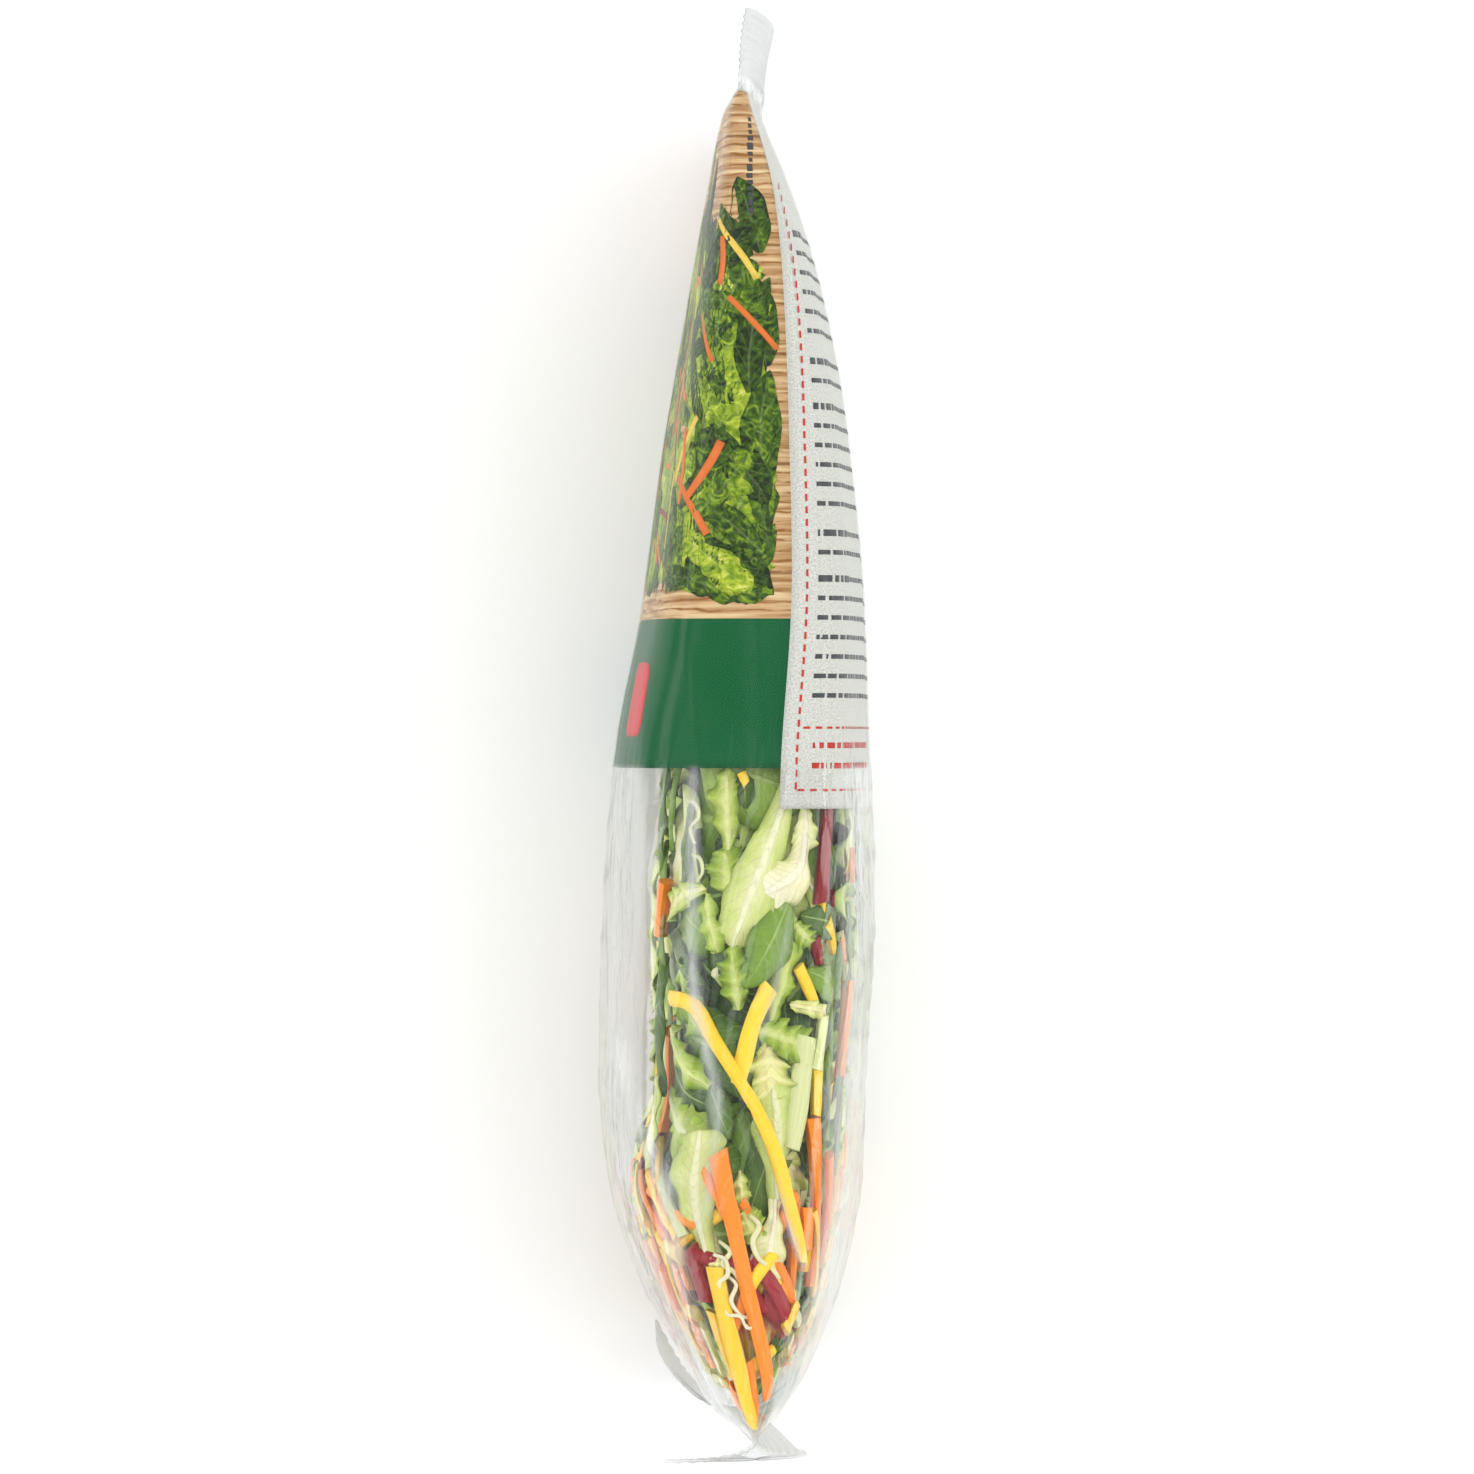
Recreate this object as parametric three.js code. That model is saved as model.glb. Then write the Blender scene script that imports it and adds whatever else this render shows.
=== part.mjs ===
// A sealed pillow bag of mixed salad leaves, lying on one of its long narrow sides with the other one up.
// Millimetres, +Z up. The bag's length runs along Y, from the foot band at -Y to the head band at +Y, and its
// thickness along X: the face with the picture is at -X and the face with the recipe panel at +X.
// The origin is under the middle of the bag, on the surface that it lies on.
import * as THREE from "three";
import { mergeVertices } from "three/addons/utils/BufferGeometryUtils.js";

// The bag's outside
const WIDTH = 190;
const HALF_BAND = 0.5; // half the thickness of a crimped band, two films and their ribs
const HEAD_SEAM_Y = 127.5; // where the head band begins
const FOOT_SEAM_Y = -135; // where the foot band begins
const HEAD_BAND = 12.35;

// The bag's outline as the eye meets its narrow side: [y, left face, right face]
const OUTLINE = [
  [FOOT_SEAM_Y, 3.3, 4.3],
  [-131, -4.4, 10],
  [-120, -12.2, 16.6],
  [-103, -21.1, 21.9],
  [-86, -25.9, 25],
  [-68, -27.2, 25.9],
  [-40, -26.9, 27.2],
  [-6, -25.1, 26.7],
  [25, -19.6, 25.9],
  [60, -14.8, 22.5],
  [86, -10.3, 17.7],
  [106, -6.8, 11.7],
  [121.5, -3.6, 4.7],
  [HEAD_SEAM_Y, 0.1, 1.1],
];

// Cross-section: how square each face is towards the narrow sides, and how far the bag reaches up and down
const SQUARE = { left: 6.5, right: 8, seam: 2.6 };
const MIDDLE_Z = WIDTH / 2;
const REACH_UP = MIDDLE_Z;
const REACH_DOWN = MIDDLE_Z + 3; // the last 3 mm are pressed flat by the weight
const EAR_UP = MIDDLE_Z + 5; // the bands' upper corners stand above the waist
const EAR_DOWN = 92; // the bands' lower corners are held clear of the surface
const EAR_LENGTH = 16;

// The head band stands up and bows to the right
const HEAD_SHIFT = 0.6;
const HEAD_BOW = 4.5;
const HEAD_LEAN = 1.7;

// The foot band is folded over sideways, as the bag once stood on it: its middle to the right,
// its upper end to the left, and its lower end curled up to the left
const FOOT_SHIFT = { lower: -8, upper: 3.8 };
const FOOT_REACH = { lower: 9, middle: 10.5, upper: 17.5 };
const FOOT_DROP = 4.5;
const FOOT_RISE = 13;
const FOOT_ROUND = 0.3; // how much of the drop is lost at the fold's outer corner
const BOW_FADE = { head: 3, foot: 5 };

// Puckers that run off the bands, and the long soft folds of the faces
const PUCKER = { depth: 0.9, length: 17, count: 2.5 };
const FOLD = { depth: 0.45, count: 2.5 };

// The mesh's steps: across the faces, along the bag, and along each band
const STEPS = { across: 34, body: 42, head: 3, foot: 6 };

const { clamp, lerp, smoothstep } = THREE.MathUtils;

// A curve through the outline's stations that never overshoots them
function slopesOf(column) {
  const rise = OUTLINE.slice(1).map((row, i) => (row[column] - OUTLINE[i][column]) / (row[0] - OUTLINE[i][0]));
  return OUTLINE.map((_, i) => {
    if (i === 0) return rise[0];
    if (i === rise.length) return rise[i - 1];
    return rise[i - 1] * rise[i] <= 0 ? 0 : (2 * rise[i - 1] * rise[i]) / (rise[i - 1] + rise[i]);
  });
}

const SLOPES = [null, slopesOf(1), slopesOf(2)];

function outline(column, y) {
  const at = clamp(y, FOOT_SEAM_Y, HEAD_SEAM_Y);
  const i = Math.max(OUTLINE.findIndex((row) => row[0] >= at) - 1, 0);
  const [low, high] = [OUTLINE[i], OUTLINE[i + 1]];
  const span = high[0] - low[0];
  const t = (at - low[0]) / span;
  const tangent = SLOPES[column];
  return (
    (2 * t ** 3 - 3 * t ** 2 + 1) * low[column] +
    (t ** 3 - 2 * t ** 2 + t) * span * tangent[i] +
    (3 * t ** 2 - 2 * t ** 3) * high[column] +
    (t ** 3 - t ** 2) * span * tangent[i + 1]
  );
}

// How far each seam's line is moved sideways, up going from -1 at its lower end to 1 at its upper end
function headBow(up) {
  return HEAD_BOW * (1 - ((up + 0.15) / 1.15) ** 2) + 0.4 * Math.sin(6 * up) * (1 - up * up);
}

function footBow(up) {
  return ((FOOT_SHIFT.lower - FOOT_SHIFT.upper) * (1 - up)) / 2 + 1.2 * Math.sin(Math.PI * up);
}

// A point of one face, side being -1 for the left one and 1 for the right one
function bodyPoint(side, up, y) {
  const [left, right] = [outline(1, y), outline(2, y)];
  const fromHead = HEAD_SEAM_Y - y;
  const fromFoot = y - FOOT_SEAM_Y;
  const fromSeam = Math.min(fromHead, fromFoot);

  const ear = Math.exp(-fromSeam / EAR_LENGTH);
  const angle = (up * Math.PI) / 2;
  const reach = up > 0 ? lerp(REACH_UP, EAR_UP, ear) : lerp(REACH_DOWN, EAR_DOWN, ear ** 0.6);
  const z = Math.max(MIDDLE_Z + reach * Math.sin(angle), 0);

  const square = lerp(side < 0 ? SQUARE.left : SQUARE.right, SQUARE.seam, Math.exp(-fromSeam / 24));
  const bulge = Math.cos(angle) ** (2 / square);
  const away = 1 - Math.exp(-fromSeam / 4);
  const wave = Math.cos(2 * PUCKER.count * Math.PI * up + side);
  const pucker = PUCKER.depth * away * Math.exp(-fromSeam / PUCKER.length) * wave;
  const roll = Math.cos(2 * FOLD.count * Math.PI * up + 0.02 * y) - 1;
  const fold = FOLD.depth * away * (1 - up * up) * roll;
  const half = Math.max(((right - left) / 2) * bulge, HALF_BAND) + (pucker + fold) * bulge;

  const bow =
    headBow(up) * Math.exp(-((fromHead / BOW_FADE.head) ** 1.3)) +
    footBow(up) * Math.exp(-((fromFoot / BOW_FADE.foot) ** 1.3));
  return new THREE.Vector3((left + right) / 2 + bow + side * half, y, z);
}

// The bands' middle lines, out going from 0 at the seam to 1 at the free edge
function bandHeight(up) {
  return MIDDLE_Z + (up > 0 ? EAR_UP : EAR_DOWN) * Math.sin((up * Math.PI) / 2);
}

function headMiddle(up, out) {
  const lean = HEAD_LEAN * out * out * (1 + 0.3 * Math.sin(5 * up));
  return new THREE.Vector3(HEAD_SHIFT + headBow(up) + lean, HEAD_SEAM_Y + HEAD_BAND * out, bandHeight(up));
}

function footMiddle(up, out) {
  const upper = smoothstep(up, 0.7, 0.86);
  const lower = smoothstep(-up, 0.5, 0.85);
  const length = lerp(lerp(FOOT_REACH.middle, FOOT_REACH.upper, upper), FOOT_REACH.lower, lower);
  const reach = length * (1 - 2 * Math.max(upper, lower)) * out ** 1.6;
  const rounded = smoothstep(up, 0.35, 0.62) * (1 - 0.6 * smoothstep(up, 0.66, 0.8));
  const drop = FOOT_DROP * (1 - lower * lower) * (2 * out - out * out) * (1 - FOOT_ROUND * rounded * out);
  const rise = FOOT_RISE * smoothstep(-up, 0.62, 1) * out * out;
  const y = FOOT_SEAM_Y - 3 * lower * out * (1 - out) - drop + rise;
  return new THREE.Vector3(FOOT_SHIFT.upper + footBow(up) + reach, y, bandHeight(up));
}

// A point of a band, half its thickness to one side of the middle; end is 1 at the head and -1 at the foot
function bandPoint(side, up, out, middle, end) {
  const at = middle(up, out);
  const ahead = middle(up, out + 0.01).sub(middle(up, Math.max(out - 0.01, 0)));
  const shift = (side * end * HALF_BAND) / Math.hypot(ahead.x, ahead.y);
  return at.add(new THREE.Vector3(shift * ahead.y, -shift * ahead.x, 0));
}

// The closed shell: a box whose two large faces are bent into the bag's two faces
function bagGeometry() {
  const along = STEPS.foot + STEPS.body + STEPS.head;
  const box = new THREE.BoxGeometry(2, 2, 2, 1, along, STEPS.across);
  box.deleteAttribute("normal");
  box.deleteAttribute("uv");
  const shell = mergeVertices(box, 1e-4);
  const place = shell.getAttribute("position");
  for (let i = 0; i < place.count; i++) {
    const [side, up] = [place.getX(i), place.getZ(i)];
    const step = Math.round(((place.getY(i) + 1) / 2) * along) - STEPS.foot;
    let point;
    if (step < 0) {
      point = bandPoint(side, up, -step / STEPS.foot, footMiddle, -1);
    } else if (step > STEPS.body) {
      point = bandPoint(side, up, (step - STEPS.body) / STEPS.head, headMiddle, 1);
    } else {
      const t = step / STEPS.body;
      const eased = t - (0.4 * Math.sin(2 * Math.PI * t)) / (2 * Math.PI);
      point = bodyPoint(side, up, lerp(FOOT_SEAM_Y, HEAD_SEAM_Y, eased));
    }
    place.setXYZ(i, point.x, point.y, point.z);
  }
  shell.computeVertexNormals();
  return shell;
}

const bag = new THREE.Mesh(
  bagGeometry(),
  new THREE.MeshStandardMaterial({ color: 0x9db35e, roughness: 0.2, metalness: 0 }),
);
bag.name = "salad_bag";

const root = new THREE.Group();
root.add(bag);

export default root;
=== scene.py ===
"""A sealed clear bag of mixed salad, lying on one narrow side, with its print, its salad and a plain stage.

Shapes are worked out in millimetres, in the frame of the CAD model, and turned into metres when a mesh is
made.
"""

import math

import bpy
import numpy as np
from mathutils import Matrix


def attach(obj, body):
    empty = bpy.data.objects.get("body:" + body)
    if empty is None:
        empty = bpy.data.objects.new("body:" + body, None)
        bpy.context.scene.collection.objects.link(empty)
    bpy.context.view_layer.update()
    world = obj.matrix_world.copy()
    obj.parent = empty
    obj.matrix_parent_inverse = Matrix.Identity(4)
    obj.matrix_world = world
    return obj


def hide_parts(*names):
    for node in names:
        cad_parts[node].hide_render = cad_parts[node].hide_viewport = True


bl_info = {
    "name": "Bag of salad leaves",
    "version": (1, 0, 0),
    "blender": (4, 5, 0),
    "location": "View3D > Sidebar > Salad Bag",
    "description": "Builds a sealed clear bag of mixed salad with its print, and a plain stage for it",
    "category": "Object",
}

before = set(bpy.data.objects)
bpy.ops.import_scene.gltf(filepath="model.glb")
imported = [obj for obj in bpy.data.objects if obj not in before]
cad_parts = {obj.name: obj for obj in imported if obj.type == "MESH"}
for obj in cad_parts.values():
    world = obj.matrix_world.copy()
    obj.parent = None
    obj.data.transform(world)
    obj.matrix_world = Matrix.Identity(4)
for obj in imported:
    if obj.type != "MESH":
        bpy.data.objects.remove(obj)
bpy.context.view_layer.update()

MM = 0.001
BAG_NODE = "salad_bag"
BODY = "root"

# The bag's shape, as the CAD model has it: [y, left face, right face]
HEAD_SEAM_Y = 127.5
FOOT_SEAM_Y = -135.0
HEAD_BAND = 12.35
HALF_BAND = 0.5
OUTLINE = np.array(
    [
        (FOOT_SEAM_Y, 3.3, 4.3),
        (-131, -4.4, 10),
        (-120, -12.2, 16.6),
        (-103, -21.1, 21.9),
        (-86, -25.9, 25),
        (-68, -27.2, 25.9),
        (-40, -26.9, 27.2),
        (-6, -25.1, 26.7),
        (25, -19.6, 25.9),
        (60, -14.8, 22.5),
        (86, -10.3, 17.7),
        (106, -6.8, 11.7),
        (121.5, -3.6, 4.7),
        (HEAD_SEAM_Y, 0.1, 1.1),
    ]
)
SQUARE_LEFT, SQUARE_RIGHT, SQUARE_SEAM = 6.5, 8.0, 2.6
MIDDLE_Z = 95.0
REACH_UP, REACH_DOWN = MIDDLE_Z, MIDDLE_Z + 3
EAR_UP, EAR_DOWN, EAR_LENGTH = MIDDLE_Z + 5, 92.0, 16.0
HEAD_SHIFT, HEAD_BOW, HEAD_LEAN = 0.6, 4.5, 1.7
FOOT_SHIFT_LOWER, FOOT_SHIFT_UPPER = -8.0, 3.8
FOOT_REACH_LOWER, FOOT_REACH_MIDDLE, FOOT_REACH_UPPER = 9.0, 10.5, 17.5
FOOT_DROP, FOOT_RISE, FOOT_ROUND = 4.5, 13.0, 0.3
BOW_FADE_HEAD, BOW_FADE_FOOT = 3.0, 5.0
PUCKER_DEPTH, PUCKER_LENGTH, PUCKER_COUNT = 0.9, 17.0, 2.5
FOLD_DEPTH, FOLD_COUNT = 0.45, 2.5

# The print, as places along the bag and, round it, from the middle of the narrow side that is up
TUBE = 215.0  # half the way round the film
PRINT_TOP = 124.0
BAND_TOP = 22.8
BAND_BOTTOM = -6.0
PANEL_BOTTOM = -13.8
SEAM_AT_HEAD, SEAM_AT_WAIST = 4.8, 7.6

# Depths under the film
PRINT_DEPTH = 0.26
PRINT_THICKNESS = 0.1
DECAL_STEP = 0.0006


def blend(low, high, amount):
    """A value between low and high."""
    return low + (high - low) * amount


def ease(value, start, end):
    """0 before start, 1 after end, and a soft curve between them."""
    t = np.clip((value - start) / (end - start), 0, 1)
    return t * t * (3 - 2 * t)


def linear(code):
    """The scene's linear colour for a hex code."""
    values = [int(code[i : i + 2], 16) / 255 for i in (0, 2, 4)]
    return [v / 12.92 if v <= 0.04045 else ((v + 0.055) / 1.055) ** 2.4 for v in values]


def outline(y):
    """The x of the left and of the right face at each y, on a curve that never overshoots its stations."""
    stations = OUTLINE[:, 0]
    at = np.clip(y, FOOT_SEAM_Y, HEAD_SEAM_Y)
    i = np.clip(np.searchsorted(stations, at) - 1, 0, len(stations) - 2)
    span = stations[i + 1] - stations[i]
    t = (at - stations[i]) / span
    faces = []
    for column in (1, 2):
        x = OUTLINE[:, column]
        rise = np.diff(x) / np.diff(stations)
        before, after = rise[:-1], rise[1:]
        same_way = before * after > 0
        middle = np.where(same_way, 2 * before * after / np.where(same_way, before + after, 1), 0)
        slope = np.concatenate([rise[:1], middle, rise[-1:]])
        faces.append(
            (2 * t**3 - 3 * t**2 + 1) * x[i]
            + (t**3 - 2 * t**2 + t) * span * slope[i]
            + (3 * t**2 - 2 * t**3) * x[i + 1]
            + (t**3 - t**2) * span * slope[i + 1]
        )
    return faces


def head_bow(up):
    """How far the head seam is moved sideways, up going from -1 at its lower end to 1 at its upper end."""
    return HEAD_BOW * (1 - ((up + 0.15) / 1.15) ** 2) + 0.4 * np.sin(6 * up) * (1 - up * up)


def foot_bow(up):
    """How far the foot seam is moved sideways."""
    return (FOOT_SHIFT_LOWER - FOOT_SHIFT_UPPER) * (1 - up) / 2 + 1.2 * np.sin(np.pi * up)


class Skin:
    """A closed surface round the bag's length: the film, or a surface that lies inside it.

    A place on it is a distance round it from the middle of the narrow side that is up, positive over the
    right face, and a y along the bag.
    """

    ROWS = np.linspace(FOOT_SEAM_Y, HEAD_SEAM_Y, 176)
    SHARES = np.linspace(-1, 1, 901)

    def __init__(self, left_gap=None, right_gap=0.0, end_gap=0.0):
        self.left_gap = left_gap
        self.right_gap = right_gap
        self.end_gap = end_gap
        quarter = np.linspace(0, 1, 301)
        upper = (np.pi / 2) * quarter**3
        lower = np.pi - (np.pi / 2) * (1 - quarter[1:]) ** 3
        from_top = np.concatenate([upper, lower])
        self.angles = []
        self.length = []
        for y in self.ROWS:
            ways = []
            for side in (-1, 1):
                angle = np.pi / 2 - side * from_top
                x, z = self.section(angle, np.full_like(angle, y))
                steps = np.hypot(np.diff(x), np.diff(z))
                ways.append(np.concatenate([[0], np.cumsum(steps)]))
            left = np.interp(-self.SHARES[self.SHARES < 0], ways[0] / ways[0][-1], np.pi / 2 + from_top)
            right = np.interp(self.SHARES[self.SHARES >= 0], ways[1] / ways[1][-1], np.pi / 2 - from_top)
            self.angles.append(np.concatenate([left, right]))
            self.length.append((ways[0][-1], ways[1][-1]))
        self.angles = np.array(self.angles)
        self.length = np.array(self.length)

    def section(self, angle, y, depth=0.0):
        """The x and z of places at depth under this surface, from an angle that is 0 at the right."""
        left, right = outline(y)
        if self.left_gap is not None:
            left = left + self.left_gap(y)
        right = right - self.right_gap
        from_head = HEAD_SEAM_Y - y
        from_foot = y - FOOT_SEAM_Y
        from_seam = np.maximum(np.minimum(from_head, from_foot), 0)
        ear = np.exp(-from_seam / EAR_LENGTH)
        height = np.clip(np.sin(angle), -1, 1)
        up = np.arcsin(height) * 2 / np.pi
        side = np.where(np.cos(angle) >= 0, 1.0, -1.0)
        reach = np.where(up > 0, blend(REACH_UP, EAR_UP, ear), blend(REACH_DOWN, EAR_DOWN, ear**0.6))
        z = np.maximum(MIDDLE_Z + (reach - self.end_gap - depth) * height, self.end_gap + depth)
        square = blend(np.where(side < 0, SQUARE_LEFT, SQUARE_RIGHT), SQUARE_SEAM, np.exp(-from_seam / 24))
        bulge = np.abs(np.cos(angle)) ** (2 / square)
        away = 1 - np.exp(-from_seam / 4)
        pucker = PUCKER_DEPTH * away * np.exp(-from_seam / PUCKER_LENGTH)
        pucker = pucker * np.cos(2 * PUCKER_COUNT * np.pi * up + side)
        fold = FOLD_DEPTH * away * (1 - up * up) * (np.cos(2 * FOLD_COUNT * np.pi * up + 0.02 * y) - 1)
        half = np.maximum((right - left) / 2 - depth, 0.3) * bulge
        if self.end_gap == 0:
            edge = np.minimum(np.abs(np.cos(angle)) * 200, 1)
            half = np.maximum(half, np.maximum(HALF_BAND - depth, 0.05) * edge)
        bow = head_bow(up) * np.exp(-((np.maximum(from_head, 0) / BOW_FADE_HEAD) ** 1.3))
        bow = bow + foot_bow(up) * np.exp(-((np.maximum(from_foot, 0) / BOW_FADE_FOOT) ** 1.3))
        return (left + right) / 2 + bow + side * (half + (pucker + fold) * bulge), z

    def way_round(self, around, y):
        """Half the way round, on the side where each place is."""
        left = np.interp(y, self.ROWS, self.length[:, 0])
        right = np.interp(y, self.ROWS, self.length[:, 1])
        return np.where(np.asarray(around) < 0, left, right)

    def angle_at(self, share, y):
        """The angle at a share of the way round, from -1 over the left to 1 over the right."""
        share = np.mod(np.asarray(share) + 1, 2) - 1
        row = (np.clip(y, self.ROWS[0], self.ROWS[-1]) - self.ROWS[0]) / (self.ROWS[1] - self.ROWS[0])
        column = (share + 1) / 2 * (len(self.SHARES) - 1)
        i = np.clip(row.astype(int), 0, len(self.ROWS) - 2)
        j = np.clip(column.astype(int), 0, len(self.SHARES) - 2)
        s, t = row - i, column - j
        table = self.angles
        near = blend(table[i, j], table[i, j + 1], t)
        far = blend(table[i + 1, j], table[i + 1, j + 1], t)
        return blend(near, far, s)

    def places(self, around, y, depth=0.0):
        """Points at a distance round the surface, along it, and at depth under it."""
        y = np.clip(np.asarray(y, float), FOOT_SEAM_Y + 2, HEAD_SEAM_Y - 2)
        angle = self.angle_at(around / self.way_round(around, y), y)
        x, z = self.section(angle, y, depth)
        return np.stack(np.broadcast_arrays(x, y, z), -1)

    def around_at(self, x, y):
        """The distance round the surface of a place on the narrow side that is up."""
        y = max(y, FOOT_SEAM_Y + 3)
        shares = np.linspace(-0.3, 0.3, 1201)
        spread = self.section(self.angle_at(shares, np.full_like(shares, y)), np.full_like(shares, y))[0]
        low, high = spread.min(), spread.max()
        inside = np.clip(x, blend(low, high, 0.03), blend(low, high, 0.97))
        share = shares[np.abs(spread - inside).argmin()]
        return share * float(self.way_round(share, y))


def salad_gap(y):
    """How far the salad stays from the left face: the film stands off it, but not at the bag's foot."""
    return blend(2.2, 7.6, ease(y, -90, -68))


FILM = Skin()
SALAD = Skin(left_gap=salad_gap, right_gap=1.3, end_gap=1.4)


def seam_around(y):
    """Where the picture meets the recipe panel, as a distance round the film."""
    return blend(SEAM_AT_WAIST, SEAM_AT_HEAD, ease(y, 0, 115))


# Meshes


def grid_cells(rows, columns):
    """The four corners of each cell in a grid of points."""
    first = (np.arange(rows - 1)[:, None] * columns + np.arange(columns - 1)).ravel()
    return np.stack([first, first + 1, first + columns + 1, first + columns], 1)


def outward(points, faces):
    """The faces of a closed shape, turned so that they point out."""
    a, b, c, d = (points[faces[:, k]] for k in range(4))
    volume = (a * np.cross(b, c)).sum() + (a * np.cross(c, d)).sum()
    return faces if volume > 0 else faces[:, ::-1]


def plate(top, bottom):
    """A closed plate between two grids of points."""
    rows, columns = top.shape[:2]
    points = np.concatenate([top.reshape(-1, 3), bottom.reshape(-1, 3)])
    cells = grid_cells(rows, columns)
    across, along = np.arange(columns), np.arange(rows)
    last_row = (rows - 1) * columns
    edge = np.concatenate(
        [
            across[:-1],
            along[:-1] * columns + columns - 1,
            last_row + across[:0:-1],
            along[:0:-1] * columns,
        ]
    )
    ahead = np.roll(edge, -1)
    under = rows * columns
    rim = np.stack([edge, edge + under, ahead + under, ahead], 1)
    faces = np.concatenate([cells, cells[:, ::-1] + under, rim])
    return points, outward(points, faces)


def ring_walls(count, ring):
    """The four corners of each cell between closed rings of points."""
    here = (np.arange(count - 1)[:, None] * ring + np.arange(ring)).ravel()
    beside = (np.arange(count - 1)[:, None] * ring + (np.arange(ring) + 1) % ring).ravel()
    return np.stack([here, beside, beside + ring, here + ring], 1)


def closed_rings(rings, cap):
    """A closed shape through rings of points, with the same cap of cells on its first and last ring."""
    count, ring = rings.shape[:2]
    points = rings.reshape(-1, 3)
    faces = np.concatenate([ring_walls(count, ring), cap[:, ::-1], cap + (count - 1) * ring])
    return points, outward(points, faces)


def rungs(ring):
    """A cap of cells that lie across a ring like the rungs of a ladder."""
    step = np.arange(ring // 2 - 1)
    return np.stack([step, step + 1, ring - 2 - step, ring - 1 - step], 1)


STICK_CAP = np.array([(0, 1, 2, 3), (0, 3, 4, 7), (4, 5, 6, 7)])


def make_object(name, material, points, faces, maps=None, marks=None, sharp=None):
    """An object at the origin from points in millimetres, with its UV maps and point attributes."""
    mesh = bpy.data.meshes.new(name)
    mesh.vertices.add(len(points))
    mesh.vertices.foreach_set("co", (np.asarray(points) * MM).ravel())
    mesh.loops.add(faces.size)
    mesh.loops.foreach_set("vertex_index", faces.ravel().astype(np.int32))
    mesh.polygons.add(len(faces))
    mesh.polygons.foreach_set("loop_start", np.arange(len(faces), dtype=np.int32) * 4)
    mesh.update(calc_edges=True)
    for label, values in (maps or {}).items():
        layer = mesh.uv_layers.new(name=label)
        layer.data.foreach_set("uv", values[faces.ravel()].ravel())
    for label, values in (marks or {}).items():
        mark = mesh.attributes.new(label, "FLOAT", "POINT")
        mark.data.foreach_set("value", values)
    mesh.shade_smooth()
    if sharp is not None:
        mesh.set_sharp_from_angle(angle=math.radians(sharp))
    mesh.validate()
    mesh.materials.append(material)
    return finish_object(bpy.data.objects.new(name, mesh))


def finish_object(thing):
    """Links a piece to the scene and to the bag's body."""
    bpy.context.scene.collection.objects.link(thing)
    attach(thing, BODY)
    return thing


class Heap:
    """Closed shapes of one kind, gathered into one mesh."""

    def __init__(self):
        self.points, self.faces, self.maps, self.tones = [], [], [], []
        self.count = 0

    def add(self, shape, spread, tone):
        """Takes a shape, its two coordinates for patterns and its tone."""
        points, faces = shape
        self.points.append(points)
        self.faces.append(faces + self.count)
        self.maps.append(spread)
        self.tones.append(np.full(len(points), tone))
        self.count += len(points)

    def build(self, name, slot, material, sharp=None):
        """Makes the one object."""
        if not self.points:
            raise RuntimeError(f"There is nothing to make {name} from")
        return make_object(
            name,
            material,
            np.concatenate(self.points),
            np.concatenate(self.faces),
            maps={"grain": np.concatenate(self.maps)},
            marks={"tone": np.concatenate(self.tones)},
            sharp=sharp,
        )


# Leaves and sticks


def curve_through(stops, count):
    """Evenly spaced points on a smooth curve through a few stops."""
    stops = np.asarray(stops, float)
    if len(stops) == 2:
        return stops[0] + (stops[1] - stops[0]) * np.linspace(0, 1, count)[:, None]
    padded = np.concatenate([[2 * stops[0] - stops[1]], stops, [2 * stops[-1] - stops[-2]]])
    fine = []
    for a, b, c, d in zip(padded, padded[1:], padded[2:], padded[3:]):
        t = np.linspace(0, 1, 12, endpoint=False)[:, None]
        fine.append(
            0.5 * (2 * b + (c - a) * t + (2 * a - 5 * b + 4 * c - d) * t**2 + (3 * b - a - 3 * c + d) * t**3)
        )
    fine = np.concatenate(fine + [stops[-1:]])
    way = np.concatenate([[0], np.cumsum(np.hypot(*np.diff(fine, axis=0).T))])
    even = np.linspace(0, way[-1], count)
    return np.stack([np.interp(even, way, fine[:, 0]), np.interp(even, way, fine[:, 1])], 1)


def bent_line(start, heading, length, bend, count):
    """Points along a line that starts at a place with a heading and turns by bend over its length."""
    turns = heading + bend * np.linspace(0, 1, count)
    step = length / (count - 1)
    moves = np.stack([np.cos(turns), np.sin(turns)], 1)[:-1] * step
    return np.concatenate([[start], start + np.cumsum(moves, 0)])


def sideways(line):
    """The unit direction across a line at each of its points, and along it."""
    along = np.gradient(line, axis=0)
    along /= np.maximum(np.linalg.norm(along, axis=1, keepdims=True), 1e-6)
    return np.stack([-along[:, 1], along[:, 0]], 1), along


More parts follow.
